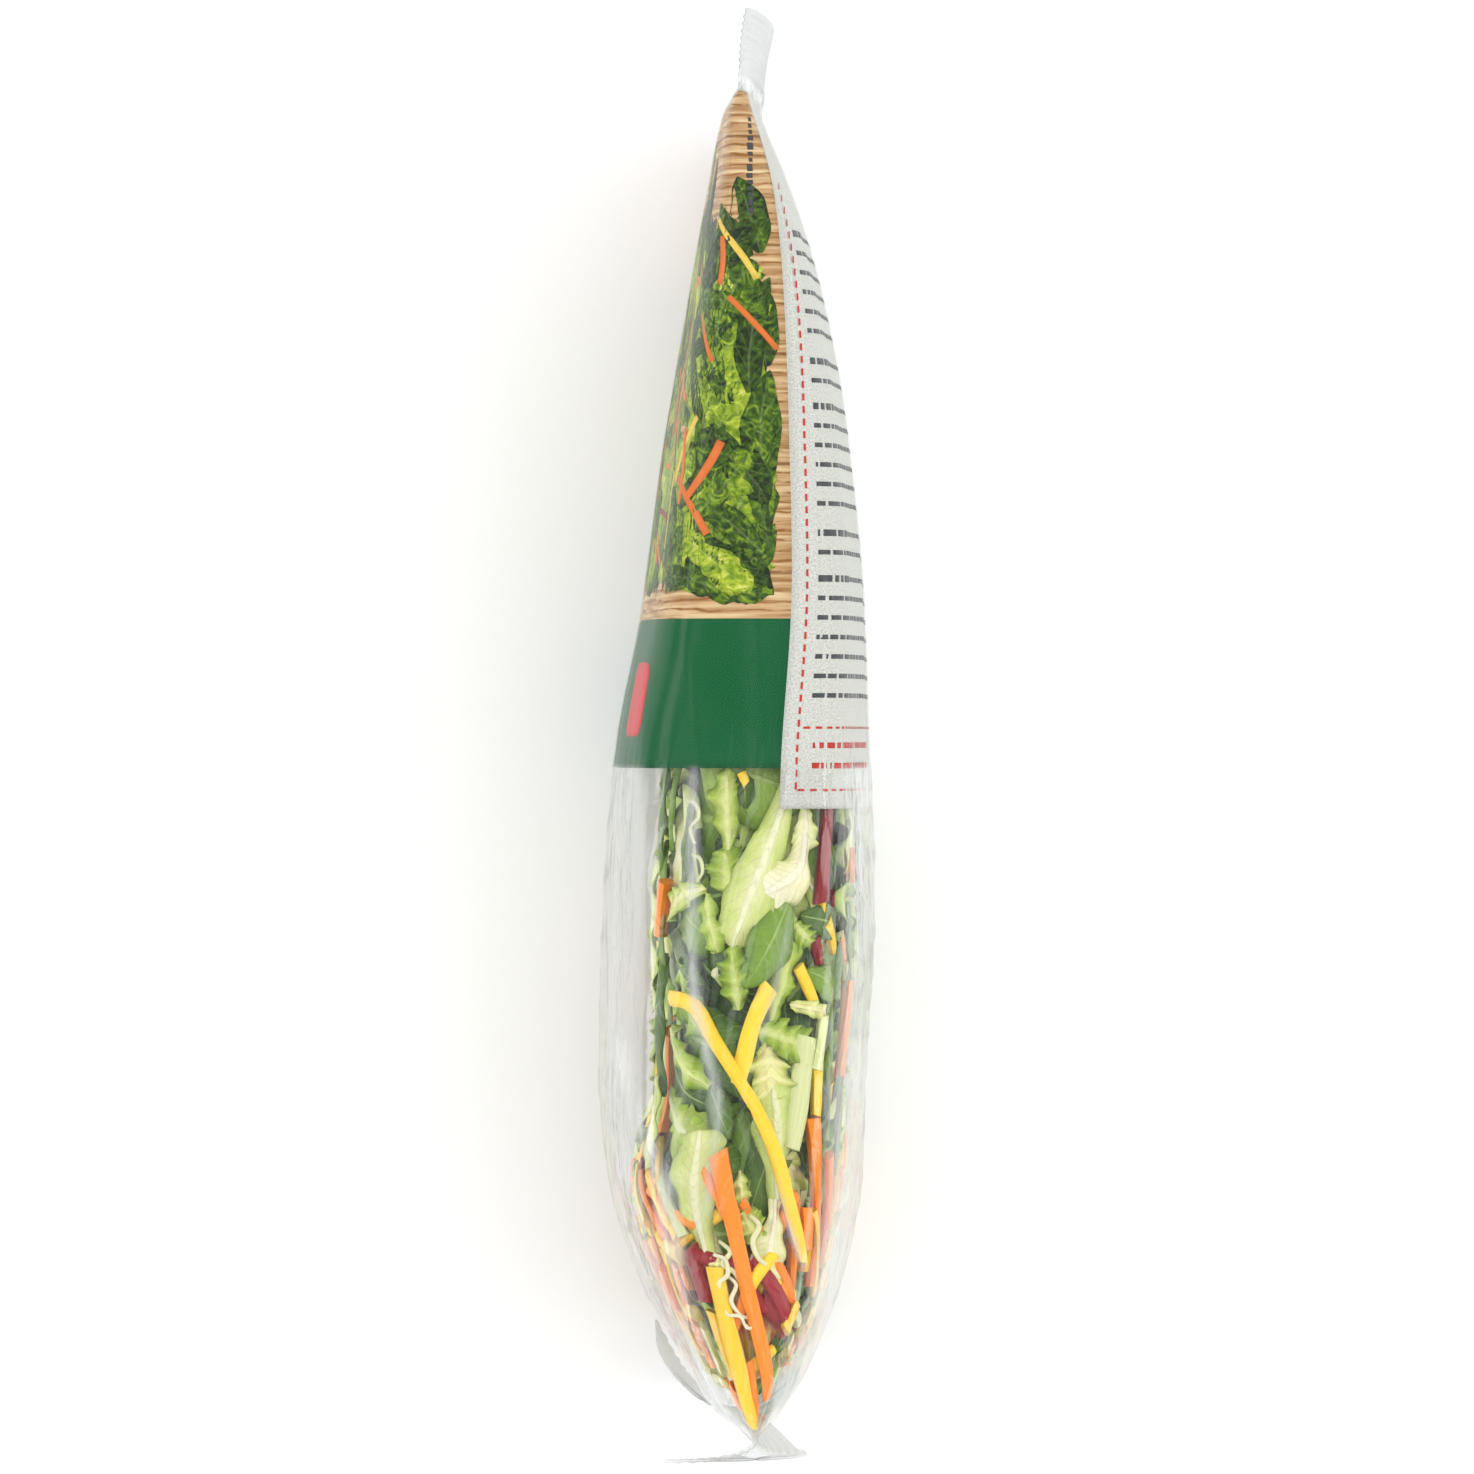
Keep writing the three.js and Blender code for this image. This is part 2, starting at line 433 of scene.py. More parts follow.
def leaf_margin(kind, t, rng):
    """How wide one half of a leaf is along its length, as a share of its widest."""
    if kind == "thread":
        return 0.6 + 0.4 * np.sin(np.pi * t)
    if kind == "curly":
        count = rng.integers(2, 4)
        centres = (np.arange(count) + 0.45 + rng.uniform(-0.3, 0.3, count)) / count
        heights = rng.uniform(0.45, 1.0, count)
        widths = rng.uniform(0.6, 1.0, count) / count
        off = t[:, None] - centres
        profile = np.clip(1 - np.abs(off) / (widths * np.where(off > 0, 0.5, 1.15)), 0, 1) ** 0.6
        lobe = (heights * profile).max(1)
        beat = rng.uniform(4, 8) * t + 0.9 * np.sin(rng.uniform(5, 11) * t + rng.uniform(0, 6))
        spike = (1 - 2 * np.abs(np.mod(beat, 1) - 0.5)) ** 1.5
        strength = 0.15 + 0.85 * np.sin(rng.uniform(4, 9) * t + rng.uniform(0, 6)) ** 2
        body = np.sin(np.pi * np.clip(t, 0.03, 0.97) ** 0.95) ** 0.45
        return rng.uniform(0.7, 1.1) * body * (0.42 + 0.5 * lobe + 0.17 * spike * strength)
    if kind == "pale":
        body = 0.34 + 0.66 * ease(t, 0.15, 0.7)
        tip = np.sqrt(np.clip(1 - ((t - 0.8) / 0.2) ** 2 * (t > 0.8), 0, 1))
        wave = np.sin(rng.uniform(14, 22) * t + rng.uniform(0, 6)) + 0.6 * np.sin(rng.uniform(30, 46) * t)
        frill = 1 + 0.1 * wave * ease(t, 0.4, 0.75)
        return body * tip * frill
    body = np.sin(np.pi * np.clip(t, 0.02, 1) ** rng.uniform(0.7, 0.95)) ** 0.75
    frill = 1 + 0.07 * np.sin(rng.uniform(12, 20) * t + rng.uniform(0, 6))
    return np.clip(body, 0, 1) * frill


# For each kind: rows and columns of points, how far its margin leans towards its tip, the ruffle's depth
# as a share of half its width, the ruffle's waves, and how much thicker its rib is in millimetres
LEAF_SHAPES = {
    "curly": (44, 7, 0.35, 0.26, 3.6, 0.7),
    "green": (26, 7, 0.15, 0.08, 2.4, 0.6),
    "pale": (34, 9, 0.1, 0.14, 3.0, 1.3),
    "thread": (40, 5, 0.0, 0.3, 1.5, 0.3),
}
BLADE_THICKNESS = 0.24


def leaf_solid(skin, line, half_width, depth, kind, rng, flat=0.0, detail=1.0):
    """A thin wavy leaf along a line under a skin, and the pattern coordinates of its points."""
    rows, columns, leaning, ruffling, waves, thicker = LEAF_SHAPES[kind]
    rows, columns = max(int(rows * detail), 8), 5 if flat else columns
    line = curve_through(line, rows)
    across, along = sideways(line)
    t = np.linspace(0, 1, rows)
    v = np.linspace(-1, 1, columns)
    left, right = leaf_margin(kind, t, rng), leaf_margin(kind, t, rng)
    wide = half_width * np.where(v[None, :] < 0, left[:, None], right[:, None]) + 0.12
    reach = v[None, :] * wide
    lean = leaning * np.abs(reach)
    place = line[:, None, :] + reach[..., None] * across[:, None, :] + lean[..., None] * along[:, None, :]

    if flat:
        top = skin.places(place[..., 0], place[..., 1], depth)
        bottom = skin.places(place[..., 0], place[..., 1], depth + flat)
    else:
        ruffle = ruffling * half_width
        waves = waves * rng.uniform(0.8, 1.2)
        phase = rng.uniform(0, 6, 2)
        shift = np.where(v[None, :] < 0, phase[0], phase[1])
        wave = np.sin(2 * np.pi * waves * t[:, None] + shift) * np.abs(v[None, :]) ** 1.4
        arch = rng.uniform(-0.12, 0.3) * half_width * v[None, :] ** 2
        curl = rng.uniform(0.3, 1.4) * (2 * t[:, None] - 1) ** 2
        sunk = depth + ruffle * (1 + wave) + np.abs(arch) + curl
        rib = np.exp(-((v[None, :] / 0.16) ** 2)) * (1 - 0.75 * t[:, None])
        thick = BLADE_THICKNESS + thicker * rib
        top = skin.places(place[..., 0], place[..., 1], np.maximum(sunk - thick * 0.45, -0.6))
        bottom = skin.places(place[..., 0], place[..., 1], np.maximum(sunk + thick * 0.55, -0.3))
    spread = np.stack(np.broadcast_arrays(v[None, :] * 0.5 + 0.5, t[:, None]), -1).reshape(-1, 2)
    return plate(top, bottom), np.concatenate([spread, spread])


def stick_solid(skin, line, width, depth, rng, thick=None):
    """A cut stick along a line under a skin, with softened corners."""
    length = np.hypot(*np.diff(np.asarray(line, float), axis=0).T).sum()
    rows = int(np.clip(length / 2.2, 5, 30))
    line = curve_through(line, rows)
    across, along = sideways(line)
    thick = width * rng.uniform(0.6, 0.85) if thick is None else thick
    corner = 0.24
    ring = np.array(
        [
            (-0.5 + corner, -0.5),
            (0.5 - corner, -0.5),
            (0.5, -0.5 + corner),
            (0.5, 0.5 - corner),
            (0.5 - corner, 0.5),
            (-0.5 + corner, 0.5),
            (-0.5, 0.5 - corner),
            (-0.5, -0.5 + corner),
        ]
    )
    t = np.linspace(0, 1, rows)
    slim = 1 - rng.uniform(0, 0.25) * t + 0.04 * np.sin(9 * t + rng.uniform(0, 6))
    wide = width * slim
    slant = rng.uniform(-0.4, 0.4, 2) * width
    place = line[:, None, :] + (ring[:, 0] * wide[:, None])[..., None] * across[:, None, :]
    push = np.zeros((rows, 8))
    push[0] = slant[0] * ring[:, 0]
    push[-1] = slant[1] * ring[:, 0]
    place = place + push[..., None] * along[:, None, :]
    sunk = depth + thick / 2 + ring[:, 1] * thick * slim[:, None]
    rings = skin.places(place[..., 0], place[..., 1], np.maximum(sunk, -0.4))
    around_ring = np.broadcast_to(np.arange(8) / 8, (rows, 8))
    run = np.broadcast_to((t * length / 20)[:, None], (rows, 8))
    return closed_rings(rings, STICK_CAP), np.stack([around_ring, run], -1).reshape(-1, 2)


def on_top(skin, stops):
    """Stops given by x and y on the narrow side that is up, as distances round a skin."""
    return [(skin.around_at(x, y), y) for x, y in stops]


# Nodes for the materials


def new_material(name):
    """A material with an empty tree, its tree, and its output node."""
    material = bpy.data.materials.new(name)
    material.use_nodes = True
    tree = material.node_tree
    tree.nodes.clear()
    return material, tree, tree.nodes.new("ShaderNodeOutputMaterial")


def plug(tree, socket, value):
    """Sets a socket to a number or a colour, or links another socket to it."""
    if isinstance(value, bpy.types.NodeSocket):
        tree.links.new(value, socket)
    elif hasattr(value, "__len__") and len(value) == 3 and socket.type == "RGBA":
        socket.default_value = (*value, 1)
    else:
        socket.default_value = value


def maths(tree, operation, first, second=0.0, third=0.0, clamp=False):
    """The result of a sum on numbers or sockets."""
    node = tree.nodes.new("ShaderNodeMath")
    node.operation = operation
    node.use_clamp = clamp
    for socket, value in zip(node.inputs, (first, second, third)):
        plug(tree, socket, value)
    return node.outputs[0]


def between(tree, value, low, high, from_low=0.0, from_high=1.0):
    """A value carried from one range to another, held at its ends."""
    node = tree.nodes.new("ShaderNodeMapRange")
    node.interpolation_type = "SMOOTHSTEP"
    for socket, number in zip(node.inputs, (value, from_low, from_high, low, high)):
        plug(tree, socket, number)
    return node.outputs[0]


def mix(tree, amount, first, second, kind="MIX"):
    """A mix of two colours."""
    node = tree.nodes.new("ShaderNodeMix")
    node.data_type = "RGBA"
    node.blend_type = kind
    plug(tree, node.inputs[0], amount)
    plug(tree, node.inputs[6], first)
    plug(tree, node.inputs[7], second)
    return node.outputs[2]


def noise(tree, vector, scale, detail=3.0, roughness=0.55, distortion=0.0):
    """Soft noise over a vector."""
    node = tree.nodes.new("ShaderNodeTexNoise")
    plug(tree, node.inputs["Vector"], vector)
    plug(tree, node.inputs["Scale"], scale)
    node.inputs["Detail"].default_value = detail
    node.inputs["Roughness"].default_value = roughness
    node.inputs["Distortion"].default_value = distortion
    return node.outputs["Fac"]


def stretched(tree, vector, scale):
    """A vector made larger or smaller on each axis."""
    node = tree.nodes.new("ShaderNodeMapping")
    plug(tree, node.inputs["Vector"], vector)
    node.inputs["Scale"].default_value = scale
    return node.outputs[0]


def ramp(tree, value, stops):
    """A colour picked along a row of colours."""
    node = tree.nodes.new("ShaderNodeValToRGB")
    plug(tree, node.inputs[0], value)
    elements = node.color_ramp.elements
    while len(elements) < len(stops):
        elements.new(1.0)
    for element, (place, colour) in zip(elements, stops):
        element.position = place
        element.color = (*colour, 1)
    return node.outputs[0]


def own_map(tree, name):
    """A piece's own pattern coordinates."""
    node = tree.nodes.new("ShaderNodeUVMap")
    node.uv_map = name
    return node.outputs[0]


def own_mark(tree, name):
    """One of a piece's own attributes, as a number."""
    node = tree.nodes.new("ShaderNodeAttribute")
    node.attribute_name = name
    return node.outputs["Fac"]


def object_place(tree):
    """Object coordinates, in metres."""
    return tree.nodes.new("ShaderNodeTexCoord").outputs["Object"]


def split(tree, vector):
    """A vector's x and y."""
    node = tree.nodes.new("ShaderNodeSeparateXYZ")
    plug(tree, node.inputs[0], vector)
    return node.outputs[0], node.outputs[1]


def bump(tree, height, strength, distance):
    """A normal from a height."""
    node = tree.nodes.new("ShaderNodeBump")
    plug(tree, node.inputs["Height"], height)
    node.inputs["Strength"].default_value = strength
    node.inputs["Distance"].default_value = distance
    return node.outputs[0]


def principled(tree, **values):
    """A Principled shader, its inputs given by name with underscores for spaces."""
    node = tree.nodes.new("ShaderNodeBsdfPrincipled")
    for name, value in values.items():
        plug(tree, node.inputs[name.replace("_", " ")], value)
    return node.outputs[0]


def mix_shaders(tree, amount, first, second):
    """A mix of two shaders."""
    node = tree.nodes.new("ShaderNodeMixShader")
    plug(tree, node.inputs[0], amount)
    tree.links.new(first, node.inputs[1])
    tree.links.new(second, node.inputs[2])
    return node.outputs[0]


def group(tree, name, **values):
    """A placed shared effect."""
    node = tree.nodes.new("ShaderNodeGroup")
    node.node_tree = bpy.data.node_groups[name]
    for label, value in values.items():
        plug(tree, node.inputs[label.replace("_", " ")], value)
    return node.outputs


def new_group(name, inputs, outputs):
    """An empty shared effect, with its input and output nodes."""
    tree = bpy.data.node_groups.new(name, "ShaderNodeTree")
    for label, kind, default in inputs:
        socket = tree.interface.new_socket(name=label, in_out="INPUT", socket_type=f"NodeSocket{kind}")
        if default is not None:
            socket.default_value = default
    for label, kind in outputs:
        tree.interface.new_socket(name=label, in_out="OUTPUT", socket_type=f"NodeSocket{kind}")
    return tree, tree.nodes.new("NodeGroupInput").outputs, tree.nodes.new("NodeGroupOutput").inputs


def build_leaf_veins():
    """Shared effect: a midrib, side veins and blotches over a leaf's own coordinates."""
    tree, given, out = new_group(
        "leaf veins",
        [("Grain", "Vector", None), ("Veins", "Float", 9.0), ("Rib Width", "Float", 0.1)],
        [(label, "Float") for label in ("Rib", "Vein", "Edge", "Blotch", "Height")],
    )
    across, along = split(tree, given["Grain"])
    off = maths(tree, "ABSOLUTE", maths(tree, "SUBTRACT", maths(tree, "MULTIPLY", across, 2.0), 1.0))
    wobble = noise(tree, object_place(tree), 420.0, 2.0)
    run = maths(tree, "SUBTRACT", along, maths(tree, "MULTIPLY", off, 0.2))
    run = maths(tree, "ADD", run, maths(tree, "MULTIPLY", wobble, 0.06))
    phase = maths(tree, "FRACT", maths(tree, "MULTIPLY", run, given["Veins"]))
    from_vein = maths(tree, "ABSOLUTE", maths(tree, "SUBTRACT", phase, 0.5))
    vein = between(tree, from_vein, 1.0, 0.0, 0.0, 0.09)
    narrowing = maths(tree, "MULTIPLY_ADD", along, -0.75, 1.0)
    rib_edge = maths(tree, "MULTIPLY", given["Rib Width"], narrowing)
    rib = between(tree, off, 1.0, 0.0, maths(tree, "MULTIPLY", rib_edge, 0.4), rib_edge)
    blotch = noise(tree, object_place(tree), 150.0, 5.0, 0.65)
    tree.links.new(rib, out["Rib"])
    tree.links.new(off, out["Edge"])
    tree.links.new(vein, out["Vein"])
    tree.links.new(blotch, out["Blotch"])
    crinkle = noise(tree, object_place(tree), 700.0, 3.0)
    height = maths(tree, "ADD", maths(tree, "MULTIPLY", vein, -0.5), maths(tree, "MULTIPLY", crinkle, 0.8))
    tree.links.new(maths(tree, "ADD", height, rib), out["Height"])


def build_film_wrinkles():
    """Shared effect: fine creases of a thin film, over its own coordinates in metres."""
    tree, given, out = new_group(
        "film wrinkles",
        [("Grain", "Vector", None)],
        [("Height", "Float"), ("Cloud", "Float")],
    )
    long_folds = noise(tree, stretched(tree, given["Grain"], (1.0, 0.16, 1.0)), 95.0, 2.0, 0.4, 0.6)
    crossing = noise(tree, given["Grain"], 62.0, 3.0, 0.5, 1.2)
    sharp = maths(tree, "ABSOLUTE", maths(tree, "SUBTRACT", crossing, 0.5))
    sharp = between(tree, sharp, 1.0, 0.0, 0.0, 0.05)
    height = maths(tree, "ADD", long_folds, maths(tree, "MULTIPLY", sharp, 0.14))
    tree.links.new(height, out["Height"])
    tree.links.new(noise(tree, given["Grain"], 38.0, 2.0), out["Cloud"])


def clear_film_material():
    """Clear film: it lets light through, shines at a slant, is milky along its crimped bands, and has
    painted highlights along its creases.
    """
    material, tree, out = new_material("clear film")
    grain = own_map(tree, "film")
    wrinkles = group(tree, "film wrinkles", Grain=grain)
    rough = maths(tree, "MULTIPLY_ADD", own_mark(tree, "printed"), -0.7, 1.0)
    normal = bump(tree, maths(tree, "MULTIPLY", wrinkles["Height"], rough), 0.35, 0.0012)
    facing = tree.nodes.new("ShaderNodeLayerWeight")
    facing.inputs["Blend"].default_value = 0.5
    tree.links.new(normal, facing.inputs["Normal"])
    slant = maths(tree, "POWER", facing.outputs["Facing"], 3.2)
    taut = maths(tree, "MULTIPLY_ADD", own_mark(tree, "printed"), -0.72, 0.9)
    least = maths(tree, "MULTIPLY_ADD", own_mark(tree, "printed"), -0.045, 0.06)
    shine = maths(tree, "MULTIPLY_ADD", slant, taut, least, clamp=True)
    gloss = tree.nodes.new("ShaderNodeBsdfGlossy")
    plug(tree, gloss.inputs["Roughness"], maths(tree, "MULTIPLY_ADD", own_mark(tree, "printed"), 0.1, 0.15))
    gloss.inputs["Color"].default_value = (0.88, 0.89, 0.89, 1)
    tree.links.new(normal, gloss.inputs["Normal"])
    band = own_mark(tree, "band")
    dull = maths(tree, "MULTIPLY", band, 2.0, clamp=True)
    shine = maths(tree, "MULTIPLY", shine, maths(tree, "MULTIPLY_ADD", dull, -0.85, 1.0))
    clear = tree.nodes.new("ShaderNodeBsdfTransparent")
    clear.inputs["Color"].default_value = (0.985, 0.99, 0.985, 1)
    # A white diffuse layer, used for the real haze and milkiness of the film and its bands and for the
    # painted highlights on the creases
    milk_and_glare = principled(tree, Base_Color=(0.62, 0.63, 0.63), Roughness=0.45)
    haze_and_painted_glare = maths(tree, "MULTIPLY_ADD", wrinkles["Cloud"], 0.03, 0.002)
    haze_and_painted_glare = maths(tree, "ADD", haze_and_painted_glare, maths(tree, "MULTIPLY", band, 0.6), clamp=True)
    # Painted highlights: streaks and patches that break up the milky glare laid along the creases
    streaks = noise(tree, stretched(tree, grain, (1.0, 0.1, 1.0)), 500.0, 3.0)
    patches = noise(tree, grain, 120.0, 3.0)
    uneven = maths(tree, "MULTIPLY", between(tree, streaks, 0.45, 1.0, 0.3, 0.65), patches)
    gleam = maths(tree, "MULTIPLY", own_mark(tree, "gleam"), maths(tree, "MULTIPLY", uneven, 1.3))
    # The painted highlights are added to the milky layer here
    haze_and_painted_glare = maths(tree, "ADD", haze_and_painted_glare, gleam, clamp=True)
    body = mix_shaders(tree, haze_and_painted_glare, clear.outputs[0], milk_and_glare)
    tree.links.new(mix_shaders(tree, shine, body, gloss.outputs[0]), out.inputs[0])
    return material


def printed_film_material(look):
    """The print: planks behind the picture, the broad band, and the speckled recipe panel at the back."""
    material, tree, out = new_material("printed film")
    grain = own_map(tree, "film")
    along = split(tree, grain)[1]
    panel_side = own_mark(tree, "panel")

    fibres = noise(tree, stretched(tree, grain, (0.05, 1.0, 1.0)), 900.0, 4.0, 0.6, 0.4)
    planks = ramp(tree, fibres, [(0.3, linear("8a6034")), (0.5, linear("bc966a")), (0.7, linear("dcc49a"))])
    wander = noise(tree, stretched(tree, grain, (0.25, 1.0, 1.0)), 300.0, 2.0)
    line = maths(tree, "MULTIPLY_ADD", along, 1 / (1.9 * MM), maths(tree, "MULTIPLY", wander, 1.3))
    line = maths(tree, "ABSOLUTE", maths(tree, "SUBTRACT", maths(tree, "FRACT", line), 0.5))
    line = between(tree, line, 1.0, 0.0, 0.04, 0.17)
    depth = between(tree, noise(tree, grain, 260.0, 3.0), 0.35, 1.0, 0.35, 0.6)
    planks = mix(tree, maths(tree, "MULTIPLY", line, depth), planks, linear("8a5a28"))
    row = maths(tree, "FRACT", maths(tree, "MULTIPLY", along, 1 / (21 * MM)))
    joint = between(tree, maths(tree, "ABSOLUTE", maths(tree, "SUBTRACT", row, 0.5)), 1.0, 0.0, 0.0, 0.02)
    planks = mix(tree, maths(tree, "MULTIPLY", joint, 0.75), planks, linear("6e4624"))

    under_picture = between(tree, along, 1.0, 0.0, (BAND_TOP - 0.05) * MM, (BAND_TOP + 0.05) * MM)
    shade = noise(tree, grain, 40.0, 2.0)
    green = mix(tree, maths(tree, "MULTIPLY", shade, 0.25), look.band_colour, linear("0b6b41"))
    colour = mix(tree, under_picture, planks, green)

    speck = noise(tree, grain, 2600.0, 2.0, 0.7)
    paper = ramp(tree, speck, [(0.32, linear("a9aaa4")), (0.5, look.panel_colour), (0.7, linear("d6d6cf"))])
    colour = mix(tree, panel_side, colour, paper)
    shader = principled(tree, Base_Color=colour, Roughness=0.5, Specular_IOR_Level=0.05)
    tree.links.new(shader, out.inputs[0])
    return material


def printed_shapes_material(name, stops):
    """Shapes printed in flat colour, each with its own tone."""
    material, tree, out = new_material(name)
    veins = group(tree, "leaf veins", Grain=own_map(tree, "grain"), Veins=7.0, Rib_Width=0.16)
    tone = own_mark(tree, "tone")
    crumple = noise(tree, object_place(tree), 330.0, 4.0, 0.6, 2.2)
    spot = maths(tree, "MULTIPLY_ADD", crumple, 1.6, maths(tree, "SUBTRACT", tone, 0.92), clamp=True)
    colour = ramp(tree, spot, stops)
    light = maths(tree, "MULTIPLY", maths(tree, "MAXIMUM", veins["Rib"], veins["Vein"]), 0.07)
    colour = mix(tree, light, colour, linear("e9efb8"))
    shader = principled(tree, Base_Color=colour, Roughness=0.5, Specular_IOR_Level=0.05)
    tree.links.new(shader, out.inputs[0])
    return material


def plain_print_material(name, colour):
    """One printed colour, slightly uneven in its ink."""
    material, tree, out = new_material(name)
    ink = noise(tree, object_place(tree), 900.0, 2.0)
    shade = mix(tree, ink, [c * 0.82 for c in colour], colour)
    shader = principled(tree, Base_Color=shade, Roughness=0.5, Specular_IOR_Level=0.05)
    tree.links.new(shader, out.inputs[0])
    return material


def leaf_material(name, stops, rib_colour, rib_share, veins_count, rib_width, edge):
    """A fresh leaf: blotched blade that changes towards its edge, paler ribs and veins, and a wet shine."""
    material, tree, out = new_material(name)
    veins = group(
        tree, "leaf veins", Grain=own_map(tree, "grain"), Veins=veins_count, Rib_Width=rib_width
    )
    tone = own_mark(tree, "tone")
    spot = maths(tree, "MULTIPLY_ADD", veins["Blotch"], 0.6, maths(tree, "SUBTRACT", tone, 0.3))
    off = maths(tree, "SUBTRACT", veins["Edge"], 0.4)
    spot = maths(tree, "MULTIPLY_ADD", off, edge, spot, clamp=True)
    blade = ramp(tree, spot, stops)
    blade = mix(tree, maths(tree, "MULTIPLY", veins["Vein"], 0.3), blade, rib_colour)
    colour = mix(tree, maths(tree, "MULTIPLY", veins["Rib"], rib_share), blade, rib_colour)
    normal = bump(tree, veins["Height"], 0.5, 0.0005)
    wet = between(tree, veins["Blotch"], 0.3, 0.5, 0.3, 0.7)
    shader = principled(
        tree,
        Base_Color=colour,
        Roughness=wet,
        Normal=normal,
        Coat_Weight=0.12,
        Coat_Roughness=0.2,
    )
    tree.links.new(shader, out.inputs[0])
    return material


def stick_material(name, dark, middle, light):
    """A cut root: fine fibres along it, moist, darker and lighter from stick to stick."""
    material, tree, out = new_material(name)
    grain = own_map(tree, "grain")
    fibres = noise(tree, stretched(tree, grain, (9.0, 0.7, 1.0)), 3.0, 4.0, 0.6)
    tone = own_mark(tree, "tone")
    spot = maths(tree, "MULTIPLY_ADD", fibres, 0.6, maths(tree, "SUBTRACT", tone, 0.3), clamp=True)
    colour = ramp(tree, spot, [(0.05, dark), (0.5, middle), (0.95, light)])
    pores = noise(tree, object_place(tree), 1500.0, 3.0)
    height = maths(tree, "ADD", fibres, maths(tree, "MULTIPLY", pores, 0.6))
    shader = principled(
        tree,
        Base_Color=colour,
        Roughness=between(tree, pores, 0.28, 0.45, 0.3, 0.7),
        Normal=bump(tree, height, 0.4, 0.0004),
        Coat_Weight=0.2,
        Coat_Roughness=0.15,
    )
    tree.links.new(shader, out.inputs[0])
    return material


# The film


def ring_shares():
    """Shares of the way round for one side of a ring, from the top down, closest where it shows."""
    return np.concatenate(
        [
            np.linspace(0, 0.17, 68, endpoint=False),
            np.linspace(0.17, 0.9, 52, endpoint=False),
            np.linspace(0.9, 1.0, 14),
        ]
    )


def off_line(x, y, stops, beyond, within):
    """How far places are to the side of a line through a few stops, and a mask that fades at its ends."""
    line = curve_through(stops, 60)
    order = np.argsort(line[:, 1])
    centre = np.interp(y, line[order, 1], line[order, 0])
    low, high = line[order[0], 1], line[order[-1], 1]
    ends = ease(y, low - beyond, low + within) * ease(-y, -high - beyond, -high + within)
    return x - centre, ends


def ridge(x, y, stops, height, width):
    """A sharp crease through a few places on the upper narrow side, fading at its ends."""
    off, ends = off_line(x, y, stops, 6.0, 6.0)
    return height * ends * np.exp(-np.hypot(off, 1.0) / width)


CREASES = (
    # stops by x and y on the upper narrow side, height, width
    (
        ((-13.5, 60), (-17.0, 24), (-17.6, -30), (-17.2, -82), (-13.6, -96), (-9.2, -112), (-3.5, -128)),
        1.0,
        2.4,
    ),
    (((-9.8, 20), (-7.0, -10), (-5.2, -52), (-2.3, -72)), 0.75, 1.7),
    (((3.5, 30), (5.5, -4), (8.5, -30)), 0.5, 2.2),
    (((10.2, -36), (4.0, -60), (2.0, -73), (6.5, -90)), 0.6, 0.9),
    (((10.2, -36), (13.0, -60), (17.5, -80)), 0.4, 1.0),
    (((24.5, -30), (25.0, -60), (22.5, -95), (16.5, -112), (10.5, -122), (4.4, -135)), 0.9, 1.8),
    (((-23.6, -66), (-17.3, -90), (-14.8, -101), (-12.9, -115)), 0.8, 1.5),
    (((16.5, -96), (12.0, -108), (13.0, -118)), 0.5, 0.8),
    (((-9.0, -106), (-7.5, -118), (-1.3, -132)), 0.6, 0.9),
    (((0.5, -118), (2.8, -123), (1.0, -130)), 0.5, 0.8),
    (((12.8, -104), (15.0, -112), (9.8, -122)), 0.5, 0.9),
)


# Painted highlights: milky streaks along the film's creases that stand in for the glare of the lights on
# them
PAINTED_GLEAMS = (
    # stops by x and y on the upper narrow side, strength, width
    (((-8.5, -4), (-8.5, -24), (-8.7, -44), (-7.1, -56), (-4.2, -67), (-4.0, -78)), 0.75, 1.1),
    (((-4.0, -76), (-5.4, -86), (-6.9, -95)), 0.5, 1.2),
    (((-23.4, -58), (-19.3, -73), (-14.5, -85), (-12.6, -97), (-9.2, -111), (-6.9, -120)), 0.85, 2.0),
    (((24.5, -60), (22.3, -80), (19.9, -94), (17.5, -104), (12.3, -116), (8.0, -128)), 0.7, 1.7),
    (((10.2, -36), (8.0, -46), (4.4, -59)), 0.55, 0.6),
    (((8.0, -86), (10.0, -94), (13.4, -103)), 0.7, 0.6),
    (((10.4, -34), (6.0, -29), (1.0, -26)), 0.4, 0.8),
)


def painted_gleam_at(x, y, z):
    """How strongly the painted highlights, milky streaks that stand in for glare, lie along the film's
    creases.
    """
    total = np.zeros_like(x)
    for stops, strength, width in PAINTED_GLEAMS:
        off, ends = off_line(x, y, stops, 3, 4)
        total += strength * ends * np.exp(-((off / width) ** 2))
    return np.minimum(total, 1) * ease(z, 140, 165)


def film_relief(share, x, y, z):
    """How far the film stands out from the bag's plain shape: creases, dents and wrinkles."""
    upper = ease(z, 120, 168)
    total = np.zeros_like(x)
    for stops, height, width in CREASES:
        total += upper * ridge(x, y, stops, height, width)
    clear = ease(-y, -10, 12)
    from_seam = np.minimum(HEAD_SEAM_Y - y, y - FOOT_SEAM_Y)
    settle = ease(from_seam, 1, 16)
    rng = np.random.default_rng(11)
    for _ in range(9):
        turns = rng.integers(2, 13)
        wave = rng.uniform(0.02, 0.11) * rng.choice((-1, 1))
        swell = np.sin(2 * np.pi * turns * share / 2 + wave * y + rng.uniform(0, 6))
        total += settle * swell * 0.12 * (0.2 + 0.8 * clear)
    for _ in range(10):
        turns = rng.uniform(10, 40)
        wave = rng.uniform(-0.2, 0.2)
        line = np.sin(np.pi * turns * share + wave * y + rng.uniform(0, 6))
        patch = rng.integers(1, 5) * np.pi * share + rng.uniform(0.02, 0.06) * y + rng.uniform(0, 6)
        total += settle * clear * ease(np.sin(patch), 0, 1) * 0.32 * np.exp(-np.hypot(line, 0.08) * 7)
    gather = np.exp(-from_seam / 9) * ease(from_seam, 0.3, 3)
    total += gather * 0.3 * np.sin(np.pi * 34 * share) * (1 + 0.5 * np.sin(17 * share))
    return total * ease(z, 0, 8)


